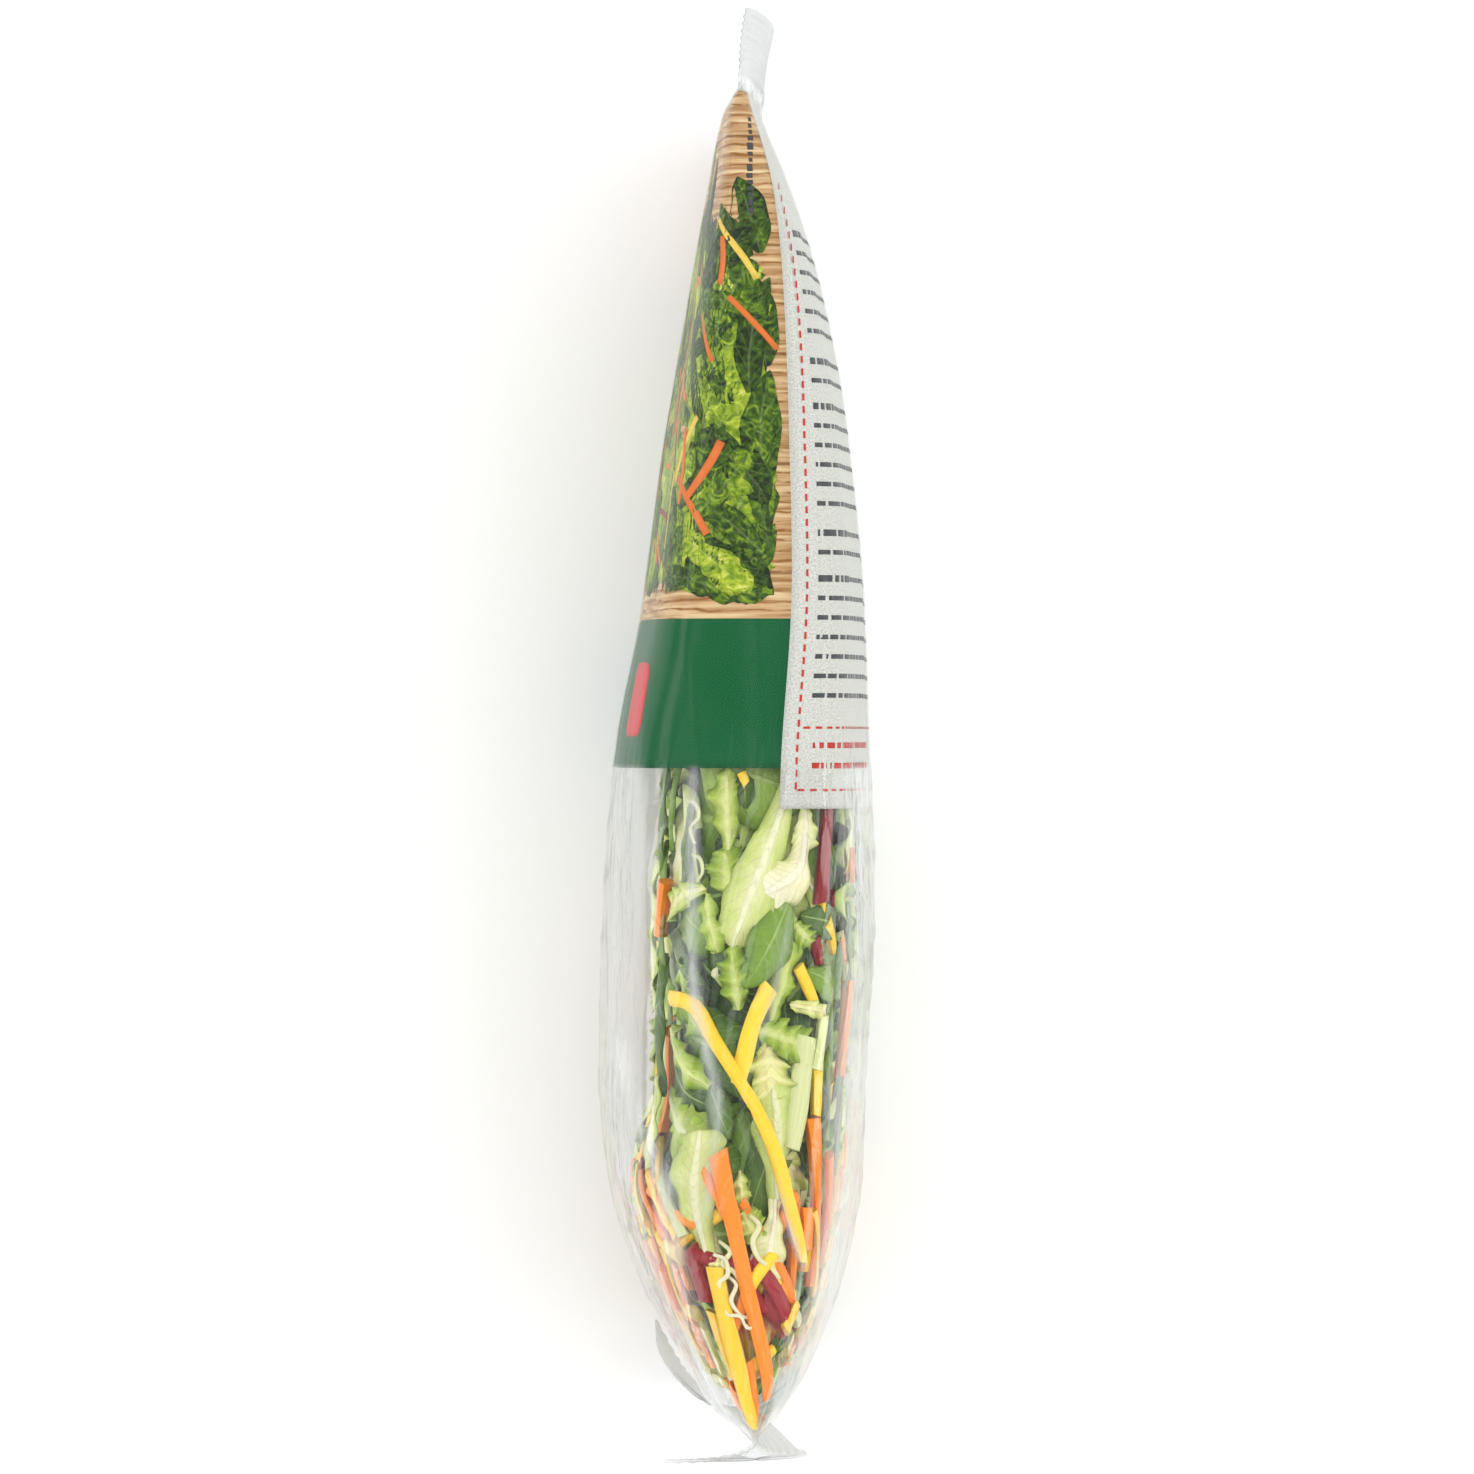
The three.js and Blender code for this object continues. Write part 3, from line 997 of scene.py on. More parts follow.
def band_rows(skin_share, up, middle, end, steps):
    """Rows of points over both faces of a crimped band, from its seam out, with fine ribs along it."""
    rows = []
    for out in np.linspace(0, 1, steps + 1)[1:]:
        here = middle(up, out)
        ahead = middle(up, out + 0.01) - middle(up, max(out - 0.01, 0))
        ahead /= np.hypot(ahead[:, 0], ahead[:, 1])[:, None]
        across = np.stack([ahead[:, 1], -ahead[:, 0]], 1) * end
        ribs = 0.16 * math.sin(2 * math.pi * 9 * out) * min(out * 8, 1, (1 - out) * 10)
        shift = np.where(skin_share >= 0, HALF_BAND, -HALF_BAND) * 0.5 + ribs
        flat = here[:, :2] + shift[:, None] * across
        rows.append(np.column_stack([flat, here[:, 2]]))
    return rows


def band_height(up):
    """The z of a place along a crimped band."""
    return MIDDLE_Z + np.where(up > 0, EAR_UP, EAR_DOWN) * np.sin(up * np.pi / 2)


def head_middle(up, out):
    """The middle surface of the head band, out going from 0 at the seam to 1 at the free edge."""
    lean = HEAD_LEAN * out * out * (1 + 0.3 * np.sin(5 * up))
    x = HEAD_SHIFT + head_bow(up) + lean
    return np.stack([x, np.full_like(x, HEAD_SEAM_Y + HEAD_BAND * out), band_height(up)], 1)


def foot_middle(up, out):
    """The middle surface of the foot band, folded to the right, and to the left at both its ends."""
    upper = ease(up, 0.7, 0.86)
    lower = ease(-up, 0.5, 0.85)
    length = blend(blend(FOOT_REACH_MIDDLE, FOOT_REACH_UPPER, upper), FOOT_REACH_LOWER, lower)
    reach = length * (1 - 2 * np.maximum(upper, lower)) * out**1.6
    rounded = ease(up, 0.35, 0.62) * (1 - 0.6 * ease(up, 0.66, 0.8))
    drop = FOOT_DROP * (1 - lower * lower) * (2 * out - out * out) * (1 - FOOT_ROUND * rounded * out)
    rise = FOOT_RISE * ease(-up, 0.62, 1) * out * out
    y = FOOT_SEAM_Y - 3 * lower * out * (1 - out) - drop + rise
    return np.stack([FOOT_SHIFT_UPPER + foot_bow(up) + reach, y, band_height(up)], 1)


def film_grid(skin_rows):
    """Both sides' shares and the film's points in rings at each y, creases included."""
    one_side = np.clip(ring_shares(), 0.0018, 0.9982)
    shares = np.concatenate([one_side[::-1], -one_side])
    share, y = np.meshgrid(shares, skin_rows)
    angle = FILM.angle_at(share, y)
    x, z = FILM.section(angle, y)
    points = np.stack([x, y, z], -1)
    along = np.gradient(points, axis=0)
    around = np.gradient(points, axis=1)
    normal = np.cross(along, around)
    normal /= np.maximum(np.linalg.norm(normal, axis=2, keepdims=True), 1e-9)
    out = np.sign((normal * (points - [1, 0, MIDDLE_Z])).sum(2, keepdims=True))
    normal = normal * out
    relief = film_relief(share, x, y, z)
    return shares, points + normal * relief[..., None], normal


def film_rows():
    """The y of each ring of the film, closest in the clear part."""
    return np.concatenate(
        [
            np.linspace(FOOT_SEAM_Y, -126, 14, endpoint=False),
            np.linspace(-126, 0, 120, endpoint=False),
            np.linspace(0, 118, 78, endpoint=False),
            np.linspace(118, HEAD_SEAM_Y, 12),
        ]
    )


class BagSettings(bpy.types.PropertyGroup):
    """Sizes and colours of the film and its print."""

    band_colour: bpy.props.FloatVectorProperty(
        name="Band", description="Colour of the broad band", subtype="COLOR", default=linear("00532a")
    )
    panel_colour: bpy.props.FloatVectorProperty(
        name="Panel", description="Colour of the recipe panel", subtype="COLOR", default=linear("c4c4bc")
    )
    badge_colour: bpy.props.FloatVectorProperty(
        name="Badge", description="Colour of the plain badge", subtype="COLOR", default=linear("cf2a2e")
    )
    dash_length: bpy.props.FloatProperty(
        name="Dash", description="Length of a dash in the panel's frame", unit="LENGTH", default=1.35 * MM
    )
    dash_spacing: bpy.props.FloatProperty(
        name="Dash spacing", description="From one dash to the next", unit="LENGTH", default=2.4 * MM
    )


class SaladSettings(bpy.types.PropertyGroup):
    """How much of each kind is in the bag, and its colours."""

    seed: bpy.props.IntProperty(name="Seed", description="Start of the random draws", default=5, min=0)
    green_leaves: bpy.props.IntProperty(
        name="Green leaves", description="Broad leaves beside those placed by hand", default=170, min=0
    )
    curly_leaves: bpy.props.IntProperty(
        name="Curly leaves", description="Toothed leaves beside those placed by hand", default=120, min=0
    )
    pale_leaves: bpy.props.IntProperty(
        name="Pale leaves", description="Pale ribbed leaves beside those placed by hand", default=44, min=0
    )
    sticks: bpy.props.IntProperty(
        name="Sticks", description="Cut sticks of each root beside those placed by hand", default=120, min=0
    )
    carrot_colour: bpy.props.FloatVectorProperty(
        name="Carrot", description="Colour of the orange sticks", subtype="COLOR", default=linear("ff8c08")
    )
    yellow_colour: bpy.props.FloatVectorProperty(
        name="Yellow carrot",
        description="Colour of the yellow sticks",
        subtype="COLOR",
        default=linear("ffcf22"),
    )
    beet_colour: bpy.props.FloatVectorProperty(
        name="Beetroot",
        description="Colour of the dark red sticks",
        subtype="COLOR",
        default=linear("960a18"),
    )


class StageSettings(bpy.types.PropertyGroup):
    """The stage, its lights and its camera."""

    floor_size: bpy.props.FloatProperty(
        name="Floor", description="Width of the floor", unit="LENGTH", default=6.0, min=1.0
    )
    side_light: bpy.props.FloatProperty(
        name="Side lights", description="Power of each side light", unit="POWER", default=7.5, min=0.0
    )
    top_light: bpy.props.FloatProperty(
        name="Top light", description="Strength of the light from above", default=1.75, min=0.0
    )
    camera_height: bpy.props.FloatProperty(
        name="Camera height", description="Height of the camera over the floor", unit="LENGTH", default=2.295
    )
    picture_width: bpy.props.FloatProperty(
        name="View width",
        description="Width that the camera sees half way up the bag",
        unit="LENGTH",
        default=0.2961,
    )


class SALADBAG_OT_film(bpy.types.Operator):
    """Makes the sealed clear film with its creases and its two crimped bands"""

    bl_idname = "saladbag.film"
    bl_label = "Clear film"

    def execute(self, context):
        rows = film_rows()
        shares, body, _ = film_grid(rows)
        foot_up = np.arcsin(np.sin(FILM.angle_at(shares, np.full_like(shares, FOOT_SEAM_Y))))
        head_up = np.arcsin(np.sin(FILM.angle_at(shares, np.full_like(shares, HEAD_SEAM_Y))))
        side = np.repeat([1.0, -1.0], len(shares) // 2)
        foot = band_rows(side, foot_up * 2 / np.pi, foot_middle, -1, 40)[::-1]
        head = band_rows(side, head_up * 2 / np.pi, head_middle, 1, 40)
        rings = np.concatenate([np.array(foot), body, np.array(head)])
        count, ring = rings.shape[:2]
        points, faces = closed_rings(rings, rungs(ring))

        along = points[:, 1] * MM
        around = np.tile(shares * TUBE * MM, count)
        off_seam = np.minimum(rows - FOOT_SEAM_Y, HEAD_SEAM_Y - rows)
        off_seam = np.concatenate([np.zeros(len(foot)), off_seam, np.zeros(len(head))])
        band = np.repeat(1 - ease(off_seam, 0.0, 1.6), ring)
        # The foot band is made less milky than the head band so that the floor shows through and it reads
        # lighter: a painted lighter look that stands in for how light falls on the two ends
        band = band * np.where(along > 0, 1.0, 0.42)
        printed = ease(points[:, 1], BAND_BOTTOM - 1, BAND_BOTTOM + 1)
        printed = printed * ease(-points[:, 1], -PRINT_TOP - 1, 1 - PRINT_TOP)
        # Painted highlights along the creases, kept off the bands and the print
        gleam = painted_gleam_at(*points.T) * (1 - band) * (1 - printed)
        film = make_object(
            "film",
            clear_film_material(),
            points,
            faces,
            maps={"film": np.stack([around, along], 1)},
            marks={"band": band, "printed": printed, "gleam": gleam},
        )
        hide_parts(BAG_NODE)
        return {"FINISHED"}


class SALADBAG_OT_print(bpy.types.Operator):
    """Makes the printed layer under the film: picture ground, broad band and recipe panel"""

    bl_idname = "saladbag.print"
    bl_label = "Print"

    def execute(self, context):
        look = context.scene.salad_bag
        rows = film_rows()
        rows = rows[(rows > PANEL_BOTTOM + 0.5) & (rows < PRINT_TOP - 0.5)]
        rows = np.concatenate([[PANEL_BOTTOM], rows, [PRINT_TOP]])
        one_side = ring_shares()
        front_low = int(np.searchsorted(rows, BAND_BOTTOM))
        rows[front_low] = BAND_BOTTOM
        seam_shares = seam_around(rows) / FILM.way_round(1.0, rows)
        parts = Heap()
        marks = []
        picture = np.concatenate([-one_side[::-1], one_side[(one_side > 0) & (one_side < 0.02)]])
        panel = one_side[one_side > 0.042]
        for kind, columns, first in (("picture", picture, front_low), ("panel", panel, 0)):
            span = rows[first:]
            share = np.broadcast_to(columns, (len(span), len(columns))).copy()
            y = np.broadcast_to(span[:, None], share.shape)
            if kind == "picture":
                share = np.concatenate([share, seam_shares[first:, None]], 1)
            else:
                share = np.concatenate([seam_shares[first:, None], share], 1)
            y = np.broadcast_to(span[:, None], share.shape)
            top = film_under(share, y, PRINT_DEPTH)
            bottom = film_under(share, y, PRINT_DEPTH + PRINT_THICKNESS)
            spread = np.stack([share * TUBE * MM, y * MM], -1).reshape(-1, 2)
            parts.add(plate(top, bottom), np.concatenate([spread, spread]), 0.0)
            marks.append(np.full(2 * share.size, 1.0 if kind == "panel" else 0.0))
        make_object(
            "print",
            printed_film_material(look),
            np.concatenate(parts.points),
            np.concatenate(parts.faces),
            maps={"film": np.concatenate(parts.maps)},
            marks={"panel": np.concatenate(marks)},
        )
        return {"FINISHED"}


def film_under(share, y, depth):
    """Places at depth under the creased film."""
    y = np.asarray(y, float)
    share = np.clip(share, -1, 0.9999999)
    angle = FILM.angle_at(share, y)
    x, z = FILM.section(angle, y)
    step = 1e-3
    ahead = FILM.section(FILM.angle_at(share + step, y), y)
    behind = FILM.section(FILM.angle_at(share - step, y), y)
    tangent = np.stack([ahead[0] - behind[0], ahead[1] - behind[1]], -1)
    tangent /= np.maximum(np.linalg.norm(tangent, axis=-1, keepdims=True), 1e-9)
    lift = film_relief(share, x, y, z) - depth
    return np.stack([x - tangent[..., 1] * lift, y, z + tangent[..., 0] * lift], -1)


class Print:
    """Lays flat shapes just under the film, over the print, in place of a skin."""

    @staticmethod
    def places(around, y, depth):
        y = np.asarray(y, float)
        return film_under(around / FILM.way_round(around, y), y, depth)


PICTURE_LEAVES = 470
DARK_LEAVES = 170  # the first ones, which lie lowest
PICTURE_STRIPS = 54
TURNED_UNDER = -206  # how far round the picture's leaves go


class SALADBAG_OT_picture(bpy.types.Operator):
    """Prints a loose heap of leaves and cut sticks on the picture side"""

    bl_idname = "saladbag.picture"
    bl_label = "Picture"

    def execute(self, context):
        rng = np.random.default_rng(context.scene.salad.seed + 20)
        leaves, strips = Heap(), {"orange": Heap(), "yellow": Heap(), "red": Heap()}
        depth = PRINT_DEPTH - 0.03
        for i in range(PICTURE_LEAVES):
            around = rng.uniform(-200, 8) if i % 2 else rng.uniform(-50, 8)
            low = BAND_TOP + 7
            rim = 103 - 14 * abs(around + 80) / 105 + 5 * math.sin(around / 13)
            y = rng.uniform(low, rim)
            seam = seam_around(y)
            heading = rng.uniform(0, 2 * math.pi)
            kind = rng.choice(["curly", "green"])
            length = rng.uniform(14, 26)
            line = bent_line((around, y), heading, length, rng.uniform(-0.7, 0.7), 12)
            half_width = rng.uniform(2.7, 4.9)
            line[:, 0] -= max(line[:, 0].max() + half_width + 0.3 - seam, 0)
            line[:, 1] += max(BAND_TOP + half_width + 1.5 - line[:, 1].min(), 0)
            if line[:, 0].min() < TURNED_UNDER:
                continue
            tone = np.clip(rng.normal(0.25 if i < DARK_LEAVES else 0.52, 0.2), 0.02, 0.98)
            shape, spread = leaf_solid(
                Print, line, half_width, depth - i * DECAL_STEP / 4, kind, rng, flat=0.002, detail=0.6
            )
            leaves.add(shape, spread, tone)
        ink = printed_shapes_material("printed leaves", PRINTED_GREENS)
        leaves.build("picture_leaves", "printed_film", ink)
        for i in range(PICTURE_STRIPS):
            name = rng.choice(["orange", "orange", "yellow", "red"])
            around = rng.uniform(-195, 4) if i % 2 else rng.uniform(-45, 4)
            y = rng.uniform(BAND_TOP + 10, 90)
            heading, length = rng.uniform(0, math.pi), rng.uniform(8, 17)
            line = bent_line((around, y), heading, length, rng.uniform(-0.5, 0.5), 8)
            if line[:, 1].min() < BAND_TOP + 4 or line[:, 0].max() > seam_around(y) - 1.5:
                continue
            if line[:, 0].min() < -208:
                continue
            shape, spread = strip(line, rng.uniform(0.5, 0.9), depth - 0.1 - i * 0.0004)
            strips[name].add(shape, spread, rng.uniform(0.3, 0.7))
        colours = {"orange": "de7434", "yellow": "e8c858", "red": "8e1f2c"}
        for name, heap in strips.items():
            ink = plain_print_material(f"printed {name}", linear(colours[name]))
            heap.build(f"picture_{name}_strips", "printed_film", ink)
        return {"FINISHED"}


PRINTED_GREENS = [
    (0.0, linear("18280b")),
    (0.28, linear("3c5a12")),
    (0.52, linear("75901c")),
    (0.78, linear("a9b634")),
    (1.0, linear("d6d47c")),
]


def strip(line, half_width, depth):
    """A flat printed strip with square ends, as rows of three points."""
    line = curve_through(line, max(int(len(line)), 4))
    across, _ = sideways(line)
    v = np.array([-1.0, 0.0, 1.0])
    place = line[:, None, :] + (v * half_width)[None, :, None] * across[:, None, :]
    top = Print.places(place[..., 0], place[..., 1], depth)
    bottom = Print.places(place[..., 0], place[..., 1], depth + 0.004)
    t = np.linspace(0, 1, len(line))
    spread = np.stack(np.broadcast_arrays(v[None, :] * 0.5 + 0.5, t[:, None]), -1).reshape(-1, 2)
    return plate(top, bottom), np.concatenate([spread, spread])


# The recipe panel's blocks of lines: y of the first line, number of lines, whether the first is a heading
TEXT_BLOCKS = ((97.0, 6, True), (72.4, 2, True), (63.7, 6, True), (39.3, 2, True), (30.5, 7, True))
TEXT_LEADING = 3.75
TEXT_HEIGHT = 1.5
PANEL_MARGIN = 3.0


class SALADBAG_OT_panel(bpy.types.Operator):
    """Prints plain bars in place of the recipe's words, and the dashed frame round them"""

    bl_idname = "saladbag.panel"
    bl_label = "Recipe panel"

    def execute(self, context):
        look = context.scene.salad_bag
        rng = np.random.default_rng(context.scene.salad.seed + 40)
        words, footer = Heap(), Heap()
        depth = PRINT_DEPTH - 0.06
        for first, lines, heading in TEXT_BLOCKS:
            for i in range(lines):
                y = first - i * TEXT_LEADING
                at = float(seam_around(y)) + PANEL_MARGIN + 2.2
                while at < 168:
                    width = rng.uniform(1.4, 6.0)
                    bold = heading and i == 0 and at < 24
                    tall = TEXT_HEIGHT * (0.85 if bold else 0.6)
                    row = [(at + s * width, y) for s in (0, 0.33, 0.66, 1)]
                    shape, spread = strip(row, tall / 2, depth)
                    words.add(shape, spread, 0.5)
                    at += width + 0.9
        note = 100.6
        while note < 119:
            length = rng.uniform(0.7, 1.5)
            at = float(FILM.around_at(2.6, note))
            row = [(at, note + s * length) for s in (0, 0.5, 1)]
            shape, spread = strip(row, rng.uniform(0.35, 0.6), depth)
            words.add(shape, spread, 0.5)
            note += length + 0.4
        for i in range(2):
            y = -1.6 - i * 3.9
            at = float(seam_around(y)) + PANEL_MARGIN + 3.0
            while at < 60:
                width = rng.uniform(1.6, 6.0)
                shape, spread = strip([(at + s * width, y) for s in (0, 0.5, 1)], 0.55, depth)
                footer.add(shape, spread, 0.5)
                at += width + 0.9
        words.build("panel_words", "printed_film", plain_print_material("dark print", linear("4a4c4e")))
        red = plain_print_material("red print", linear("c4342c"))
        footer.build("panel_footer", "printed_film", red)
        self.badge(look)
        self.dashes(look, red)
        return {"FINISHED"}

    def badge(self, look):
        """A plain rounded badge on the band, with nothing on it."""
        badge = Heap()
        turn = np.linspace(0, 2 * np.pi, 41)
        rim = np.linspace(0, 1, 7)
        for centre, half in (((-34.0, 7.3), (10.5, 7.2)), ((-140.0, 7.3), (20.0, 10.5))):
            corner = np.abs(np.cos(turn)) ** 6 + np.abs(np.sin(turn)) ** 6
            reach = corner ** (-1 / 6)
            place_x = centre[0] + rim[:, None] * half[0] * (np.cos(turn) * reach)[None, :]
            place_y = centre[1] + rim[:, None] * half[1] * (np.sin(turn) * reach)[None, :]
            top = Print.places(place_x, place_y, PRINT_DEPTH - 0.09)
            bottom = Print.places(place_x, place_y, PRINT_DEPTH - 0.07)
            shape = disc(top, bottom)
            badge.add(shape, np.zeros((len(shape[0]), 2)), 0.5)
        badge.build("badge", "printed_film", plain_print_material("badge print", list(look.badge_colour)))

    def dashes(self, look, red):
        """The dashed frame, as short bars laid along a guide line by Geometry Nodes."""
        rise = np.linspace(106, -9.4, 90)
        left = np.stack([seam_around(rise) + PANEL_MARGIN, rise], 1)
        foot_x = np.linspace(left[-1, 0] + 1.0, 178, 120)
        foot = np.stack([foot_x, np.full_like(foot_x, -10.2)], 1)
        right = np.stack([np.full(90, 178.8), np.linspace(-9.2, 106, 90)], 1)
        middle_x = np.linspace(left[-1, 0] + 1.6, 177, 120)
        middle = np.stack([middle_x, np.full_like(middle_x, 1.8)], 1)
        points, edges, out = [], [], []
        for line in (left, foot, right, middle):
            start = len(points)
            place = Print.places(line[:, 0], line[:, 1], PRINT_DEPTH - 0.08)
            under = Print.places(line[:, 0], line[:, 1], PRINT_DEPTH + 1.0)
            normal = place - under
            points.extend(place * MM)
            out.extend(normal / np.linalg.norm(normal, axis=1, keepdims=True))
            edges.extend((start + i, start + i + 1) for i in range(len(line) - 1))
        mesh = bpy.data.meshes.new("dashes")
        mesh.from_pydata([tuple(p) for p in points], edges, [])
        mark = mesh.attributes.new("outward", "FLOAT_VECTOR", "POINT")
        mark.data.foreach_set("vector", np.array(out).ravel())
        guide = bpy.data.objects.new("panel_dashes", mesh)
        bpy.context.scene.collection.objects.link(guide)
        tree = dash_tree(red)
        sizes = {"Length": look.dash_length, "Spacing": look.dash_spacing}
        sizes.update({"Width": 0.45 * MM, "Height": 0.01 * MM})
        bake_nodes(guide, tree, sizes)
        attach(guide, BODY)


def disc(top, bottom):
    """A closed flat disc from rings of points that start at its centre."""
    rings, ring = top.shape[0], top.shape[1] - 1
    top, bottom = top[:, :-1], bottom[:, :-1]
    points = np.concatenate([top[1:].reshape(-1, 3), bottom[1:].reshape(-1, 3)])
    rings -= 1
    cells = ring_walls(rings, ring)
    heart = rungs(ring)
    under = rings * ring
    edge = (rings - 1) * ring + np.arange(ring)
    ahead = (rings - 1) * ring + (np.arange(ring) + 1) % ring
    rim = np.stack([edge, ahead, ahead + under, edge + under], 1)
    faces = np.concatenate([cells, heart[:, ::-1], cells[:, ::-1] + under, heart + under, rim])
    return points, outward(points, faces)


def new_tree(name, sockets):
    """A Geometry Nodes tree with a geometry in and out and its named sizes."""
    tree = bpy.data.node_groups.new(name, "GeometryNodeTree")
    tree.interface.new_socket(name="Geometry", in_out="INPUT", socket_type="NodeSocketGeometry")
    for label, kind, default in sockets:
        socket = tree.interface.new_socket(name=label, in_out="INPUT", socket_type=f"NodeSocket{kind}")
        if default is not None:
            socket.default_value = default
    tree.interface.new_socket(name="Geometry", in_out="OUTPUT", socket_type="NodeSocketGeometry")
    return tree, tree.nodes.new("NodeGroupInput").outputs, tree.nodes.new("NodeGroupOutput").inputs


def attribute(tree, name):
    """A named vector attribute of the geometry."""
    node = tree.nodes.new("GeometryNodeInputNamedAttribute")
    node.data_type = "FLOAT_VECTOR"
    node.inputs["Name"].default_value = name
    return node.outputs["Attribute"]


def dash_tree(material):
    """Short flat bars along a guide line, facing out."""
    sizes = [("Length", "Float", 0.001), ("Spacing", "Float", 0.002), ("Width", "Float", 0.0004)]
    tree, given, out = new_tree("dashes along a line", sizes + [("Height", "Float", 0.0001)])
    link = tree.links.new
    line = tree.nodes.new("GeometryNodeMeshToCurve")
    link(given["Geometry"], line.inputs[0])
    even = tree.nodes.new("GeometryNodeResampleCurve")
    even.mode = "LENGTH"
    link(line.outputs[0], even.inputs["Curve"])
    link(given["Spacing"], even.inputs["Length"])
    bar = tree.nodes.new("GeometryNodeMeshCube")
    size = tree.nodes.new("ShaderNodeCombineXYZ")
    for socket, label in zip(size.inputs, ("Length", "Width", "Height")):
        link(given[label], socket)
    link(size.outputs[0], bar.inputs["Size"])
    turn = tree.nodes.new("FunctionNodeAxesToRotation")
    turn.primary_axis = "Z"
    turn.secondary_axis = "X"
    link(attribute(tree, "outward"), turn.inputs["Primary Axis"])
    link(tree.nodes.new("GeometryNodeInputTangent").outputs[0], turn.inputs["Secondary Axis"])
    copies = tree.nodes.new("GeometryNodeInstanceOnPoints")
    link(even.outputs[0], copies.inputs["Points"])
    link(bar.outputs["Mesh"], copies.inputs["Instance"])
    link(turn.outputs[0], copies.inputs["Rotation"])
    real = tree.nodes.new("GeometryNodeRealizeInstances")
    link(copies.outputs[0], real.inputs[0])
    paint = tree.nodes.new("GeometryNodeSetMaterial")
    paint.inputs["Material"].default_value = material
    link(real.outputs[0], paint.inputs["Geometry"])
    link(paint.outputs[0], out["Geometry"])
    return tree


def bake_nodes(thing, tree, sizes):
    """Runs a Geometry Nodes tree on an object and keeps the result as its plain mesh."""
    modifier = thing.modifiers.new(tree.name, "NODES")
    modifier.node_group = tree
    named = {item.name: item.identifier for item in tree.interface.items_tree if item.in_out == "INPUT"}
    for label, value in sizes.items():
        modifier[named[label]] = value
    graph = bpy.context.evaluated_depsgraph_get()
    made = bpy.data.meshes.new_from_object(thing.evaluated_get(graph))
    if not made.polygons:
        raise RuntimeError(f"{tree.name} made nothing")
    thing.modifiers.clear()
    thing.data = made


# The salad's pieces that show best, listed one by one: x and y on the narrow side that is up, width, depth,
# tone

YELLOW_STICKS = (
    (
        ((-13.7, -50.4), (-9.4, -51.5), (-4.8, -58.5), (2.9, -70.0), (8.9, -83.5), (13.7, -101.2)),
        2.9,
        0.5,
        0.6,
    ),
    (((6.7, -47.9), (2.9, -55.6), (-0.2, -67.1)), 3.9, 1.4, 0.7),
    (((-4.6, -102.0), (-1.3, -116.2), (2.9, -134.0)), 3.5, 0.4, 0.35),
    (((13.3, -44.2), (17.1, -51.5)), 2.3, 2.5, 0.6),
    (((5.4, -104.3), (11.2, -109.5)), 4.6, 5.0, 0.1),
    (((-7.1, -110.8), (-2.9, -124.3)), 4.6, 3.5, 0.5),
    (((17.9, -29.2), (19.1, -34.4)), 2.3, 2.4, 0.5),
    (((19.5, -35.3), (21.0, -41.1)), 3.5, 2.2, 0.4),
    (((0.6, -6.8), (1.7, -9.1)), 1.9, 1.0, 0.5),
    (((17.7, -63.3), (17.5, -73.1)), 3.1, 2.2, 0.8),
)

CARROT_STICKS = (
    (((-3.9, -80.0), (-1.2, -92.2), (6.5, -127.4)), 3.7, 0.5, 0.55),
    (((16.8, -73.5), (16.6, -106.6)), 3.9, 2.0, 0.6),
    (((24.2, -47.5), (21.4, -66.0)), 3.9, 0.6, 0.6),
    (((-15.4, -28.0), (-16.8, -38.6)), 4.4, 0.3, 0.4),
    (((24.4, -22.0), (24.0, -28.0)), 3.0, 0.4, 0.6),
    (((9.8, -105.6), (13.3, -109.5)), 3.5, 2.5, 0.5),
    (((-1.7, -125.1), (-1.3, -129.1)), 3.1, 1.5, 0.5),
    (((2.3, -120.1), (4.4, -135.0)), 1.7, 1.5, 0.5),
    (((14.4, -89.3), (13.3, -114.3)), 3.5, 4.5, 0.6),
    (((23.1, -85.4), (22.7, -89.7)), 1.5, 2.0, 0.4),
    (((-16.8, -87.3), (-12.1, -106.6)), 3.1, 3.0, 0.6),
    (((-21.6, -91.2), (-15.8, -106.6)), 3.5, 5.0, 0.5),
)

BEET_STICKS = (
    (((19.3, -13.4), (17.9, -31.9)), 3.3, 1.5, 0.4),
    (((21.4, -30.1), (21.6, -34.4)), 2.5, 3.0, 0.4),
    (((17.5, -38.8), (18.7, -43.8)), 2.9, 3.0, 0.4),
    (((-10.4, -98.5), (-7.1, -108.9)), 4.2, 1.8, 0.5),
    (((6.0, -108.5), (12.1, -114.3)), 4.6, 2.8, 0.6),
    (((-22.5, -77.7), (-19.8, -88.3)), 3.1, 3.0, 0.4),
)

STALKS = (
    (((14.8, -57.7), (13.7, -68.1), (11.7, -79.3)), 4.2, 1.6, 0.4),
    (((18.7, -53.8), (17.1, -64.2)), 2.9, 1.8, 0.6),
    (((7.3, -96.2), (6.5, -104.7)), 4.2, 1.8, 0.8),
)

